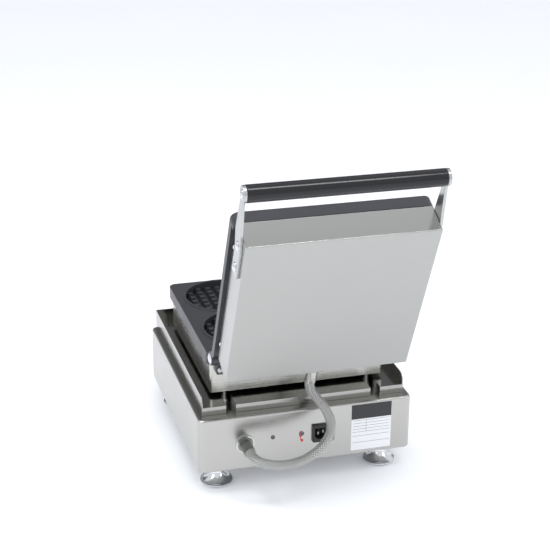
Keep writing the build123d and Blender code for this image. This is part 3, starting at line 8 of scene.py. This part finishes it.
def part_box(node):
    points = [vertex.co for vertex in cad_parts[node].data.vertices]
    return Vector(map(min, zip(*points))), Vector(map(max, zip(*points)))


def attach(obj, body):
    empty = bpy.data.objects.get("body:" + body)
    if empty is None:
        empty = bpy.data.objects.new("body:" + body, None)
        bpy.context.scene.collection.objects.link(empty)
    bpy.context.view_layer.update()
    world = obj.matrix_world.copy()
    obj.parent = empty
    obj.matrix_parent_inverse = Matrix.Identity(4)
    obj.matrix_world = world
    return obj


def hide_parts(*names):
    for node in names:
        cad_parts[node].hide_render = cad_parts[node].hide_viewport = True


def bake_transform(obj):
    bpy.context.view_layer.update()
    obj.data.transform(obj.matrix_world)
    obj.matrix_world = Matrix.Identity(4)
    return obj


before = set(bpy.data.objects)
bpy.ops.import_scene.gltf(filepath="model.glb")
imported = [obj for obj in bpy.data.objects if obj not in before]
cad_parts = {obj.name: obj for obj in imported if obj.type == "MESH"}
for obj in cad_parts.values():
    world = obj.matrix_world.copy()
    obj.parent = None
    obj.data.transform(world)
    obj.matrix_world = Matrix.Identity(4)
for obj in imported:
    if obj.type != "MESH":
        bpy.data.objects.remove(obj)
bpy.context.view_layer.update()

# Camera: it stands behind the machine, a little to its right, and looks down 22 degrees through a long
# lens. The first three columns of its matrix are the picture's right, up and backward directions.
eye = bpy.data.objects.new("camera", bpy.data.cameras.new("camera"))
eye.data.lens = 96.0
eye.data.sensor_width = 36.0
eye.matrix_world = Matrix(((-0.9627, -0.0955, 0.2531, 0.5250), (0.2705, -0.3624, 0.8919, 1.7796),
                           (0.0065, 0.9271, 0.3747, 1.0213), (0, 0, 0, 1)))
bpy.context.scene.collection.objects.link(eye)
bpy.context.scene.camera = eye
bpy.context.scene.view_settings.view_transform = "Standard"

# Braided hose: stainless wire braided over a rubber tube, crimped into the gland and into the lid's ferrule.
# It is one free loop that gives the lid room to move, so its middle bends as the lid shuts.
mm = 0.001
route = [(86.4, 118.2, 72.2), (86.4, 135.2, 72.2), (72.0, 150.2, 68.5), (44.0, 155.2, 66.5),
         (14.0, 152.2, 72.0), (-11.0, 143.2, 85.0), (-24.0, 132.2, 104.0), (-18.0, 120.7, 124.0),
         (-5.0, 111.2, 141.0), (4.3, 111.7, 156.1), (4.3, 117.5, 168.9)]
line = bpy.data.curves.new("hose_line", "CURVE")
line.dimensions = "3D"
line.resolution_u = 16
spline = line.splines.new("NURBS")
spline.points.add(len(route) - 1)
for point, place in zip(spline.points, route):
    point.co = (*(step / 1000 for step in place), 1)
spline.order_u = 3
spline.use_endpoint_u = True
line_holder = bpy.data.objects.new("hose_line", line)
bpy.context.scene.collection.objects.link(line_holder)
bpy.context.view_layer.update()
traced = bpy.data.meshes.new_from_object(line_holder)
followed = np.array([v.co for v in traced.vertices], float)
bpy.data.objects.remove(line_holder)
bpy.data.meshes.remove(traced)

# Evenly spaced rings along that line, each with two directions across it that don't twist on the way
steps = np.linalg.norm(np.diff(followed, axis=0), axis=1)
followed = followed[np.concatenate(([True], steps > 1e-7))]
run = np.concatenate(([0], np.cumsum(np.linalg.norm(np.diff(followed, axis=0), axis=1))))
rings = 240
along = np.linspace(0, run[-1], rings)
middle_line = np.stack([np.interp(along, run, followed[:, axis]) for axis in range(3)], axis=1)
ahead = np.gradient(middle_line, axis=0)
ahead /= np.linalg.norm(ahead, axis=1)[:, None]
across = [np.cross(ahead[0], (0, 0, 1))]
across[0] /= np.linalg.norm(across[0])
for ring in range(1, rings):
    carried = across[-1] - ahead[ring] * np.dot(across[-1], ahead[ring])
    across.append(carried / np.linalg.norm(carried))
across = np.array(across)
upward = np.cross(ahead, across)


def on_hose(ring, angle, radius):
    """A point at that angle and radius round the hose's middle line."""
    return middle_line[ring] + radius * (math.cos(angle) * across[ring] + math.sin(angle) * upward[ring])


hose_radius = 6.75 * mm
wire = 0.45 * mm
tube_radius = hose_radius - 3.2 * wire
tube_sides = 32
TUBE, BRAID = 0, 1
verts, faces, kinds = [], [], []
for ring in range(rings):
    for side in range(tube_sides):
        verts.append(on_hose(ring, 2 * math.pi * side / tube_sides, tube_radius))
for ring in range(rings - 1):
    for side in range(tube_sides):
        here = ring * tube_sides + side
        beside = ring * tube_sides + (side + 1) % tube_sides
        faces.append((here, beside, beside + tube_sides, here + tube_sides))
        kinds.append(TUBE)
last_ring = (rings - 1) * tube_sides
faces.append(tuple(reversed(range(tube_sides))))
faces.append(tuple(range(last_ring, last_ring + tube_sides)))
kinds += [TUBE, TUBE]

# The braid: eight flat strands each way, over and under each other. Real ones are about 1 mm wide and twice
# as many, and these are drawn coarser because such fine ones wouldn't show
strands = 8
pitch = 34.0 * mm
half_strand = 0.90 * mm
strand_profile = ((-1, -0.5), (-1, 0.2), (0, 0.5), (1, 0.2), (1, -0.5))
corners = len(strand_profile)
for way in (1, -1):
    for strand in range(strands):
        first = len(verts)
        for ring in range(rings):
            lap = 2 * math.pi * along[ring] / pitch
            weave = 0.5 * way * wire * math.cos(strands * lap)
            middle = 2 * math.pi * strand / strands + way * lap
            radius = hose_radius - 1.5 * wire + weave
            for aside, rise in strand_profile:
                verts.append(on_hose(ring, middle + aside * half_strand / radius, radius + rise * wire))
        for ring in range(rings - 1):
            for corner in range(corners):
                here = first + corners * ring + corner
                beside = first + corners * ring + (corner + 1) % corners
                faces.append((here, here + corners, beside + corners, beside))
                kinds.append(BRAID)
        last = first + corners * (rings - 1)
        faces.append(tuple(range(first, first + corners)))
        faces.append(tuple(reversed(range(last, last + corners))))
        kinds += [BRAID, BRAID]


def colour(code):
    """sRGB hex to the linear colour that the shaders take."""
    parts = [int(code[i:i + 2], 16) / 255 for i in (1, 3, 5)]
    return tuple(c / 12.92 if c <= 0.04045 else ((c + 0.055) / 1.055) ** 2.4 for c in parts) + (1.0,)


def add(tree, kind, inputs=None, **settings):
    """Add a node; an input is given a value or another node's output."""
    node = tree.nodes.new(kind)
    for name, value in settings.items():
        setattr(node, name, value)
    for name, value in (inputs or {}).items():
        if isinstance(value, bpy.types.NodeSocket):
            tree.links.new(value, node.inputs[name])
        else:
            node.inputs[name].default_value = value
    return node


# A Mix node's two colour inputs and its colour output, then the same for vectors
COLOUR_A, COLOUR_B, COLOUR_OUT = 6, 7, 2
VECTOR_A, VECTOR_B, VECTOR_OUT = 4, 5, 1


def surface(name, base, metallic, roughness, grain, bump, mottle=0.06, edge=0.4 * mm, coat=0.0, turn=0.0,
            stretch=None, spread=0.08):
    """A finish whose colour, roughness and height all vary, as a real one's do.

    grain is the size of its finest marks and bump their height. mottle is how far its tone strays, and
    spread how far its roughness does. edge is the radius that its edges have worn to. stretch draws the
    marks out along X, or along Y on faces that look along X, as brushing does. turn swings the marks with
    the open lid. coat is the weight of a clear layer on top."""
    material = bpy.data.materials.new(name)
    material.use_nodes = True
    tree = material.node_tree
    shader = tree.nodes["Principled BSDF"]
    place = add(tree, "ShaderNodeTexCoord")
    spot = add(tree, "ShaderNodeMapping", {"Vector": place.outputs["Object"], "Rotation": (turn, 0, 0)})
    marks_per_metre = 1 / grain
    if stretch:
        facing = add(tree, "ShaderNodeMapping", {"Vector": place.outputs["Normal"], "Rotation": (turn, 0, 0)})
        looks = add(tree, "ShaderNodeSeparateXYZ", {"Vector": facing.outputs["Vector"]})
        sideways = add(tree, "ShaderNodeMath", {0: looks.outputs["X"]}, operation="ABSOLUTE")
        is_side = add(tree, "ShaderNodeMath", {0: sideways.outputs[0], 1: 0.7}, operation="GREATER_THAN")
        drawn_out = marks_per_metre / stretch
        along_x = add(tree, "ShaderNodeVectorMath", {0: spot.outputs["Vector"],
                      1: (drawn_out, marks_per_metre, marks_per_metre)}, operation="MULTIPLY")
        along_y = add(tree, "ShaderNodeVectorMath", {0: spot.outputs["Vector"],
                      1: (marks_per_metre, drawn_out, marks_per_metre)}, operation="MULTIPLY")
        marks_at = add(tree, "ShaderNodeMix", {"Factor": is_side.outputs[0],
                       VECTOR_A: along_x.outputs["Vector"], VECTOR_B: along_y.outputs["Vector"]},
                       data_type="VECTOR").outputs[VECTOR_OUT]
    else:
        marks_at = add(tree, "ShaderNodeVectorMath", {0: spot.outputs["Vector"], "Scale": marks_per_metre},
                       operation="SCALE").outputs["Vector"]
    marks = add(tree, "ShaderNodeTexNoise", {"Vector": marks_at, "Scale": 1.0, "Detail": 3.0})
    clouds_per_metre = 22.0
    cloud = add(tree, "ShaderNodeTexNoise", {"Vector": spot.outputs["Vector"], "Scale": clouds_per_metre,
                "Detail": 4.0})
    darker = add(tree, "ShaderNodeHueSaturation", {"Value": 1 - mottle, "Color": colour(base)})
    lighter = add(tree, "ShaderNodeHueSaturation", {"Value": 1 + mottle, "Color": colour(base)})
    both = add(tree, "ShaderNodeMath", {0: marks.outputs["Fac"], 1: cloud.outputs["Fac"]}, operation="ADD")
    wear = add(tree, "ShaderNodeMath", {0: both.outputs[0], 1: 0.5}, operation="MULTIPLY")
    tint = add(tree, "ShaderNodeMix", {"Factor": wear.outputs[0], COLOUR_A: darker.outputs["Color"],
               COLOUR_B: lighter.outputs["Color"]}, data_type="RGBA")
    tree.links.new(tint.outputs[COLOUR_OUT], shader.inputs["Base Color"])
    rough = add(tree, "ShaderNodeMapRange", {"Value": wear.outputs[0], "From Min": 0.3, "From Max": 0.7,
                "To Min": max(roughness - spread, 0.02), "To Max": roughness + spread})
    tree.links.new(rough.outputs["Result"], shader.inputs["Roughness"])
    shader.inputs["Metallic"].default_value = metallic
    shader.inputs["Coat Weight"].default_value = coat
    shader.inputs["Coat Roughness"].default_value = 0.06
    worn = add(tree, "ShaderNodeBevel", {"Radius": edge}, samples=4)
    raised = add(tree, "ShaderNodeBump", {"Height": marks.outputs["Fac"], "Strength": 0.6, "Distance": bump,
                 "Normal": worn.outputs["Normal"]})
    tree.links.new(raised.outputs["Normal"], shader.inputs["Normal"])
    return material


# Black rubber shows as dark gaps, and drawn stainless wire gives each strand its own small bright streak
hose_mesh = bpy.data.meshes.new("hose")
hose_mesh.from_pydata([tuple(v) for v in verts], [], faces)
hose_mesh.materials.append(surface("braid_core", "#0C0C0E", 0.2, 0.7, 0.6 * mm, 0.1 * mm))
hose_mesh.materials.append(surface("braid_wire", "#C9C9C6", 1.0, 0.20, 0.25 * mm, 0.08 * mm, mottle=0.30,
                                   edge=0.2 * mm))
for polygon, kind in zip(hose_mesh.polygons, kinds):
    polygon.material_index = kind
    polygon.use_smooth = True
hose = bpy.data.objects.new("hose_braid", hose_mesh)
bpy.context.scene.collection.objects.link(hose)
bpy.context.view_layer.objects.active = hose
hose.select_set(True)
bpy.ops.object.mode_set(mode="EDIT")
bpy.ops.mesh.select_all(action="SELECT")
bpy.ops.mesh.normals_make_consistent(inside=False)
bpy.ops.object.mode_set(mode="OBJECT")
hose.select_set(False)
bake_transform(hose)
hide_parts("braided_hose")

# Floor: plain white paper that runs far past the machine. Its weak glow brings it near the photo's white
# and leaves the shadow round the feet.
floor_mesh = bpy.data.meshes.new("floor")
floor_mesh.from_pydata([(-9, -14, 0), (9, -14, 0), (9, 6, 0), (-9, 6, 0)], [], [(0, 1, 2, 3)])
floor = bpy.data.objects.new("floor", floor_mesh)
bpy.context.scene.collection.objects.link(floor)
paper = bpy.data.materials.new("paper_floor")
paper.use_nodes = True
tree = paper.node_tree
shader = tree.nodes["Principled BSDF"]
spot = add(tree, "ShaderNodeTexCoord")
fibre = add(tree, "ShaderNodeTexNoise", {"Vector": spot.outputs["Object"], "Scale": 3.0})
tone = add(tree, "ShaderNodeValToRGB", {"Fac": fibre.outputs["Fac"]})
tone.color_ramp.elements[0].color = colour("#F8F9FC")
tone.color_ramp.elements[1].color = colour("#FBFCFE")
tree.links.new(tone.outputs["Color"], shader.inputs["Base Color"])
shader.inputs["Roughness"].default_value = 0.55
shader.inputs["Specular IOR Level"].default_value = 0.25
shader.inputs["Emission Color"].default_value = colour("#F2F6FF")
shader.inputs["Emission Strength"].default_value = 0.10
floor_mesh.materials.append(paper)

# Lights: one long strip overhead, which draws the thin bright line along the grip and the folded edges, and
# a large soft panel on each side of the camera. Each row is a place, what it looks at, its sides and watts.
for name, place, aim, width, depth, power in (
        ("strip_above", (0.2, 0.55, 2.4), (0, 0.2, 0.4), 2.6, 0.42, 26.0),
        ("panel_camera_left", (2.6, 1.2, 1.5), (0, 0, 0.3), 1.8, 1.8, 20.0),
        ("panel_camera_right", (-2.4, 1.6, 1.2), (0, 0, 0.3), 1.6, 1.6, 13.0)):
    lamp = bpy.data.lights.new(name, "AREA")
    lamp.shape = "RECTANGLE"
    lamp.size = width
    lamp.size_y = depth
    lamp.energy = power
    stand = bpy.data.objects.new(name, lamp)
    stand.location = place
    stand.rotation_euler = (Vector(aim) - Vector(place)).to_track_quat("-Z", "Y").to_euler()
    bpy.context.scene.collection.objects.link(stand)

# Room: pale all round, but greyer on the far side from a little above the table upwards, which gives the
# level sheet metal its dark reflections.
sky = bpy.data.worlds.new("sky")
bpy.context.scene.world = sky
sky.use_nodes = True
tree = sky.node_tree
way = add(tree, "ShaderNodeSeparateXYZ", {"Vector": add(tree, "ShaderNodeTexCoord").outputs["Generated"]})
far = add(tree, "ShaderNodeMapRange", {"Value": way.outputs["Y"], "From Min": -0.62, "From Max": -0.80,
          "To Min": 0.0, "To Max": 1.0}, interpolation_type="SMOOTHSTEP")
over = add(tree, "ShaderNodeMapRange", {"Value": way.outputs["Z"], "From Min": 0.16, "From Max": 0.30,
           "To Min": 0.0, "To Max": 1.0}, interpolation_type="SMOOTHSTEP")
dark = add(tree, "ShaderNodeMath", {0: far.outputs["Result"], 1: over.outputs["Result"]},
           operation="MULTIPLY")
wall = add(tree, "ShaderNodeMix", {"Factor": dark.outputs[0], COLOUR_A: colour("#F4F6FA"),
           COLOUR_B: colour("#77777A")}, data_type="RGBA")
tree.links.new(wall.outputs[COLOUR_OUT], tree.nodes["Background"].inputs["Color"])
tree.nodes["Background"].inputs["Strength"].default_value = 0.98


def dress(material, *names):
    """Give CAD nodes their material."""
    for name in names:
        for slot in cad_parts[name].material_slots:
            slot.material = material


# Housing: a box folded from 1.2 mm stainless sheet and welded at its rear corners. It was brushed along its
# length, so fine marks run round it and smear what it mirrors. They are drawn 0.35 mm wide, wider than
# real ones, so that they show.
stainless = surface("brushed_stainless", "#B6B5B1", 1.0, 0.24, 0.35 * mm, 0.01 * mm, mottle=0.04,
                    edge=0.6 * mm, stretch=160, spread=0.04)
dress(stainless, "housing_shell")

# Bottom plate: the same sheet as it comes from the mill, duller and greyer, screwed to the housing's
# flanges from below.
dress(surface("dull_stainless", "#B4B4B1", 1.0, 0.42, 0.5 * mm, 0.03 * mm, stretch=60), "bottom_plate")

# Feet: turned steel, polished and chromed, so they mirror the floor and the panels almost sharply. A black
# rubber pad with a matt moulded skin is let into each sole.
chrome = surface("polished_chrome", "#D9DADC", 1.0, 0.10, 0.6 * mm, 0.006 * mm, mottle=0.04,
                 edge=0.4 * mm, spread=0.05)
dress(chrome, "levelling_feet")
dress(surface("foot_rubber", "#1A1A1B", 0.0, 0.75, 0.8 * mm, 0.06 * mm), "foot_pads")

# Screws, nuts and studs underneath and inside: rolled steel, zinc plated, with the cloudy grey shine that
# the bath leaves.
zinc = surface("zinc_plate", "#B9BABB", 1.0, 0.36, 0.5 * mm, 0.02 * mm, mottle=0.12, edge=0.3 * mm)
dress(zinc, "foot_studs", "foot_nuts", "bottom_screws", "leg_nuts", "bracket_screws")

# Drip tray: one folded sheet of stainless with a raised floor and two slots for the rear legs. It is
# smoother than the housing, so it mirrors the head above it. Its base colour is set darker than the
# housing's as painted shade, standing in for the shade under the head.
dress(surface("tray_steel_painted_shade", "#A6A5A1", 1.0, 0.17, 0.35 * mm, 0.008 * mm, edge=0.6 * mm, stretch=200,
              spread=0.03), "drip_tray")

# Legs and lower head: turned, chromed legs carry a folded box of brushed stainless, which holds the heating
# and is closed by the plate.
dress(chrome, "support_legs")
dress(surface("box_stainless", "#BEBDB8", 1.0, 0.28, 0.35 * mm, 0.02 * mm, edge=0.6 * mm, stretch=160),
      "lower_heater_box")

# Baking plates: sand-cast iron with a baked dark coating. The grain that the sand left shows through it as
# a soft satin speckle, drawn 1.1 mm wide so that it shows, and the coating adds a faint gloss.
coated = surface("coated_iron", "#424347", 0.55, 0.44, 1.1 * mm, 0.06 * mm, mottle=0.14, edge=0.8 * mm,
                 coat=0.15)
dress(coated, "lower_plate", "upper_plate")

# Hinge: cast iron brackets, bare and rougher than the plates, screwed on at the rear. The lid turns on two
# pins, ground and then chromed.
dress(surface("cast_bracket", "#47484A", 0.7, 0.55, 1.0 * mm, 0.08 * mm, mottle=0.12, edge=0.8 * mm),
      "hinge_brackets")
dress(chrome, "hinge_pins")

# Heating elements: steel tube, bent to and fro under each plate. The heat has browned and dulled it
# unevenly, so it hardly shines.
dress(surface("oxidised_tube", "#4A443E", 0.8, 0.62, 0.8 * mm, 0.05 * mm, mottle=0.22), "lower_element",
      "upper_element")

# Clamp plates: flat hot-rolled steel, screwed over the elements to press them on the plates. The mill has
# left a dull grey skin.
dress(surface("clamp_steel", "#8E8F90", 1.0, 0.5, 0.7 * mm, 0.04 * mm, mottle=0.14), "lower_clamp_plate",
      "upper_clamp_plate")
dress(zinc, "lower_clamp_screws", "upper_clamp_screws")

# Insulation: blankets of pressed mineral wool, laid behind the clamps. Their face is loose, matt and
# fibrous.
dress(surface("wool", "#A8A08A", 0.0, 0.95, 1.2 * mm, 1.2 * mm, mottle=0.25), "lower_mineral_wool",
      "upper_mineral_wool")

# Wiring: the cut-out, the terminal block and the thermostat have bodies of fired ceramic with a smooth cream
# skin. The leads run in woven silicone sleeve.
dress(surface("glazed_ceramic", "#D9D4C8", 0.0, 0.55, 0.8 * mm, 0.05 * mm), "overheat_cutout",
      "terminal_block", "thermostat_body")
dress(surface("silicone_sleeve", "#CFC8BA", 0.0, 0.7, 0.5 * mm, 0.12 * mm, mottle=0.12), "base_leads",
      "lid_leads")

# Lid cover: stainless sheet, folded down on four sides. It was brushed finely across its flat top before
# folding, so its grain turns with the open lid and its reflections are soft and even.
open_turn = math.radians(114.7)
cover_steel = surface("cover_stainless", "#AEAEAB", 1.0, 0.21, 0.4 * mm, 0.006 * mm, mottle=0.03,
                      edge=0.8 * mm, stretch=220, turn=open_turn, spread=0.03)
dress(cover_steel, "lid_cover")

# Lid frame: a ring folded from 1.5 mm stainless sheet inside the cover, and bolted to it at the sides. It
# was left as it came from the mill, so it is duller.
dress(surface("frame_stainless", "#A9AAA9", 1.0, 0.38, 0.5 * mm, 0.02 * mm, stretch=120, turn=open_turn),
      "lid_frame")

# Handle arms: 4 mm flat stainless bar, cut to shape, with brushed faces and worn edges. Polished chromed
# bolts hold them to the cover. The bolts' nuts and the rod inside the grip are zinc plated.
dress(surface("arm_stainless", "#BABBBA", 1.0, 0.26, 0.4 * mm, 0.02 * mm, edge=0.6 * mm, stretch=120,
              turn=open_turn), "handle_arms")
dress(chrome, "frame_bolts", "arm_bolts", "handle_screws")
dress(zinc, "handle_rod", "arm_nuts")

# Grip: a moulded black phenolic tube over the steel rod, buffed to a high gloss by hands, so the strip
# light draws one thin line along it.
dress(surface("phenolic", "#0E0E12", 0.0, 0.13, 0.7 * mm, 0.006 * mm, mottle=0.2, edge=1.0 * mm, spread=0.03),
      "handle_grip")

# Hose fittings: turned brass, nickel plated, bright on the flats and rims. The gland's grooved body has
# darkened, as it does where it is gripped and crimped.
nickel = surface("nickel_brass", "#C6C6C2", 1.0, 0.16, 0.5 * mm, 0.02 * mm, mottle=0.08, edge=0.5 * mm)
dress(nickel, "gland_washer", "gland_locknut", "hose_ferrule", "ferrule_locknut")
dress(surface("dark_nickel", "#7F827C", 1.0, 0.14, 0.5 * mm, 0.02 * mm, mottle=0.1, edge=0.6 * mm),
      "hose_gland")

# Mains inlet: a black moulded socket with a fine matt texture, clipped into the rear panel. Plugging in has
# worn the nickel of its three pins dull.
dress(surface("inlet_moulding", "#17171A", 0.0, 0.42, 0.6 * mm, 0.05 * mm, mottle=0.15, edge=0.4 * mm),
      "inlet_socket")
dress(surface("worn_nickel", "#98958E", 1.0, 0.38, 0.5 * mm, 0.02 * mm, mottle=0.15, edge=0.3 * mm),
      "inlet_pins", "thermostat_bulb")

# Rear screws: small passivated steel screws with a cross, grey rather than bright. One of them is locked
# with a glossy stripe and a drop of red lacquer.
dress(surface("passivated_steel", "#6E6E70", 1.0, 0.34, 0.4 * mm, 0.03 * mm, mottle=0.2, edge=0.3 * mm),
      "rear_screws")
dress(surface("locking_lacquer", "#C4161C", 0.0, 0.22, 0.6 * mm, 0.08 * mm, mottle=0.1, coat=0.6),
      "locking_lacquer")

# Rating plate: satin printed foil, stuck on. It has a black band over a white table of thin grey rules. The
# band and the boxes of the table are bare.
foil = surface("rating_foil", "#E3E4E6", 0.0, 0.36, 0.9 * mm, 0.015 * mm, mottle=0.02, edge=0.2 * mm)
plate_low, plate_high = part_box("rating_plate")
band_bottom = 88.0 * mm
table_top = 85.6 * mm
table_bottom = 68.0 * mm
rule_heights = [height * mm for height in (85.6, 81.2, 76.8, 72.4, 68.0, 62.0, 52.0)]
rule_width = 0.4 * mm
rule_margin = 2.0 * mm
column_rule = plate_high.x - 21.5 * mm
prints = [(band_bottom, plate_high.z, plate_low.x, plate_high.x)]
prints += [(height, height + rule_width, plate_low.x + rule_margin, plate_high.x - rule_margin)
           for height in rule_heights]
prints += [(table_bottom, table_top, column_rule, column_rule + rule_width)]
tree = foil.node_tree
shader = tree.nodes["Principled BSDF"]
paper_tint = shader.inputs["Base Color"].links[0].from_socket
place = next(node for node in tree.nodes if node.bl_idname == "ShaderNodeTexCoord")
where = add(tree, "ShaderNodeSeparateXYZ", {"Vector": place.outputs["Object"]})
ink = None
for low, high, left, right in prints:
    above = add(tree, "ShaderNodeMath", {0: where.outputs["Z"], 1: low}, operation="GREATER_THAN")
    below = add(tree, "ShaderNodeMath", {0: where.outputs["Z"], 1: high}, operation="LESS_THAN")
    after = add(tree, "ShaderNodeMath", {0: where.outputs["X"], 1: left}, operation="GREATER_THAN")
    before = add(tree, "ShaderNodeMath", {0: where.outputs["X"], 1: right}, operation="LESS_THAN")
    tall = add(tree, "ShaderNodeMath", {0: above.outputs[0], 1: below.outputs[0]}, operation="MULTIPLY")
    wide = add(tree, "ShaderNodeMath", {0: after.outputs[0], 1: before.outputs[0]}, operation="MULTIPLY")
    patch = add(tree, "ShaderNodeMath", {0: tall.outputs[0], 1: wide.outputs[0]}, operation="MULTIPLY")
    if ink is None:
        ink = patch
    else:
        ink = add(tree, "ShaderNodeMath", {0: ink.outputs[0], 1: patch.outputs[0]}, operation="MAXIMUM")
printed = add(tree, "ShaderNodeMix", {"Factor": ink.outputs[0], COLOUR_A: paper_tint,
              COLOUR_B: colour("#2A2A2C")}, data_type="RGBA")
tree.links.new(printed.outputs[COLOUR_OUT], shader.inputs["Base Color"])
dress(foil, "rating_plate")

# Control fascia: sheet aluminium, anodised black, which stays satin with a hint of metal. It carries the
# switch, two pilot lamps and the thermostat.
dress(surface("anodised_black", "#1B1C1E", 0.4, 0.42, 0.5 * mm, 0.03 * mm, mottle=0.12, edge=0.4 * mm),
      "control_fascia")

# Switch frame, lamp holders and knob: injection-moulded black plastic with a fine spark-eroded texture. The
# knob turns the thermostat's zinc-plated spindle.
dress(surface("moulded_black", "#151517", 0.0, 0.38, 0.7 * mm, 0.04 * mm, mottle=0.15, edge=0.5 * mm),
      "switch_frame", "lamp_holders", "thermostat_knob")
dress(zinc, "thermostat_spindle")

# Rocker and pilot lenses: coloured plastic from polished moulds, so each has a small sharp highlight.
# The rocker is red, the power lamp green and the heating lamp amber.
dress(surface("rocker_red", "#B01418", 0.0, 0.25, 0.7 * mm, 0.02 * mm, mottle=0.08, coat=0.4),
      "power_rocker")
dress(surface("green_lens", "#1E8A34", 0.0, 0.14, 0.9 * mm, 0.08 * mm, mottle=0.12, coat=0.6),
      "power_lamp_lens")
dress(surface("amber_lens", "#D9741A", 0.0, 0.14, 0.9 * mm, 0.08 * mm, mottle=0.12, coat=0.6),
      "heating_lamp_lens")

# Dial print: white ticks round the thermostat knob, with plain numbers outside them. It is screen-printed
# ink, matt and 0.1 mm proud of the fascia. The ticks are one bar, set round the circle.
ink_white = surface("screen_ink", "#E8E8E6", 0.0, 0.5, 0.6 * mm, 0.02 * mm, mottle=0.03, edge=0.1 * mm)
ink_height = 0.1 * mm
dial_start, dial_end = math.radians(-135), math.radians(135)
knob_low, knob_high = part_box("thermostat_knob")
dial = Vector(((knob_low.x + knob_high.x) / 2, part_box("control_fascia")[0].y, (knob_low.z + knob_high.z) / 2))
group = bpy.data.node_groups.new("dial_ticks", "GeometryNodeTree")
for name, kind in (("Radius", "NodeSocketFloat"), ("Length", "NodeSocketFloat"), ("Width", "NodeSocketFloat"),
                   ("Count", "NodeSocketInt"), ("Ink", "NodeSocketMaterial")):
    group.interface.new_socket(name, in_out="INPUT", socket_type=kind)
group.interface.new_socket("Geometry", in_out="OUTPUT", socket_type="NodeSocketGeometry")
given = add(group, "NodeGroupInput")
result = add(group, "NodeGroupOutput")
tick_size = add(group, "ShaderNodeCombineXYZ", {"X": given.outputs["Width"], "Y": ink_height,
                "Z": given.outputs["Length"]})
tick = add(group, "GeometryNodeMeshCube", {"Size": tick_size.outputs[0]})
row = add(group, "GeometryNodeMeshLine", {"Count": given.outputs["Count"], "Offset": (0, 0, 0)})
number = add(group, "GeometryNodeInputIndex")
last = add(group, "ShaderNodeMath", {0: given.outputs["Count"], 1: 1.0}, operation="SUBTRACT")
share = add(group, "ShaderNodeMath", {0: number.outputs[0], 1: last.outputs[0]}, operation="DIVIDE")
angle = add(group, "ShaderNodeMapRange", {"Value": share.outputs[0], "To Min": dial_start,
            "To Max": dial_end})
turn = add(group, "ShaderNodeCombineXYZ", {"Y": angle.outputs[0]})
reach = add(group, "ShaderNodeCombineXYZ", {"Z": given.outputs["Radius"]})
swung = add(group, "ShaderNodeVectorRotate", {"Vector": reach.outputs[0], "Rotation": turn.outputs[0]},
            rotation_type="EULER_XYZ")
moved = add(group, "GeometryNodeSetPosition", {"Geometry": row.outputs[0], "Position": swung.outputs[0]})
placed = add(group, "GeometryNodeInstanceOnPoints", {"Points": moved.outputs[0], "Instance": tick.outputs[0],
             "Rotation": turn.outputs[0]})
real = add(group, "GeometryNodeRealizeInstances", {"Geometry": placed.outputs[0]})
inked = add(group, "GeometryNodeSetMaterial", {"Geometry": real.outputs[0], "Material": given.outputs["Ink"]})
group.links.new(inked.outputs[0], result.inputs[0])
seed = bpy.data.objects.new("ticks_start", bpy.data.meshes.new("ticks_start"))
bpy.context.scene.collection.objects.link(seed)
modifier = seed.modifiers.new("ticks", "NODES")
modifier.node_group = group
values = {"Radius": 26.0 * mm, "Length": 3.0 * mm, "Width": 0.7 * mm, "Count": 11, "Ink": ink_white}
for item in group.interface.items_tree:
    if item.in_out == "INPUT":
        modifier[item.identifier] = values[item.name]
bpy.context.view_layer.update()
made = bpy.data.meshes.new_from_object(seed.evaluated_get(bpy.context.evaluated_depsgraph_get()))
bpy.data.objects.remove(seed)
made.transform(Matrix.Translation(dial + Vector((0, -ink_height / 2, 0))))
ticks = bpy.data.objects.new("dial_ticks", made)
bpy.context.scene.collection.objects.link(ticks)
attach(ticks, "base")

# Dial numbers: plain numbers from 0 to 5, printed in the same ink. They stand upright, evenly spaced round
# the arc of the ticks.
numbers = 6
number_height = 5.5 * mm
number_radius = 31.5 * mm
for k in range(numbers):
    swing = dial_start + (dial_end - dial_start) * k / (numbers - 1)
    text = bpy.data.curves.new("numeral", "FONT")
    text.body = str(k)
    text.size = number_height
    text.align_x = "CENTER"
    text.align_y = "CENTER"
    text.extrude = ink_height / 2
    text_holder = bpy.data.objects.new("numeral", text)
    bpy.context.scene.collection.objects.link(text_holder)
    bpy.context.view_layer.update()
    letter = bpy.data.meshes.new_from_object(text_holder)
    bpy.data.objects.remove(text_holder)
    spot = dial + Vector((number_radius * math.sin(swing), -ink_height / 2, number_radius * math.cos(swing)))
    letter.transform(Matrix.Translation(spot) @ Matrix.Rotation(math.pi / 2, 4, "X"))
    letter.materials.clear()
    letter.materials.append(ink_white)
    numeral = bpy.data.objects.new(f"dial_numeral_{k}", letter)
    bpy.context.scene.collection.objects.link(numeral)
    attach(numeral, "base")

# Knob pointer: the same white, as paint run into the groove across the knob's face. It is a thin bar that
# fills the groove, and it turns with the knob.
pointer_half_width = 0.9 * mm
pointer_half_depth = 0.2 * mm
pointer_from, pointer_to = 4.5 * mm, 18.0 * mm
groove_y = knob_low.y + 0.6 * mm
verts = [(dial.x + side * pointer_half_width, groove_y + face * pointer_half_depth, dial.z + out)
         for side in (-1, 1) for face in (-1, 1) for out in (pointer_from, pointer_to)]
pointer_mesh = bpy.data.meshes.new("pointer")
pointer_mesh.from_pydata(verts, [], [(0, 1, 3, 2), (4, 6, 7, 5), (0, 4, 5, 1), (2, 3, 7, 6), (0, 2, 6, 4),
                                     (1, 5, 7, 3)])
pointer_mesh.materials.append(ink_white)
pointer = bpy.data.objects.new("knob_pointer", pointer_mesh)
bpy.context.scene.collection.objects.link(pointer)
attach(pointer, "knob")
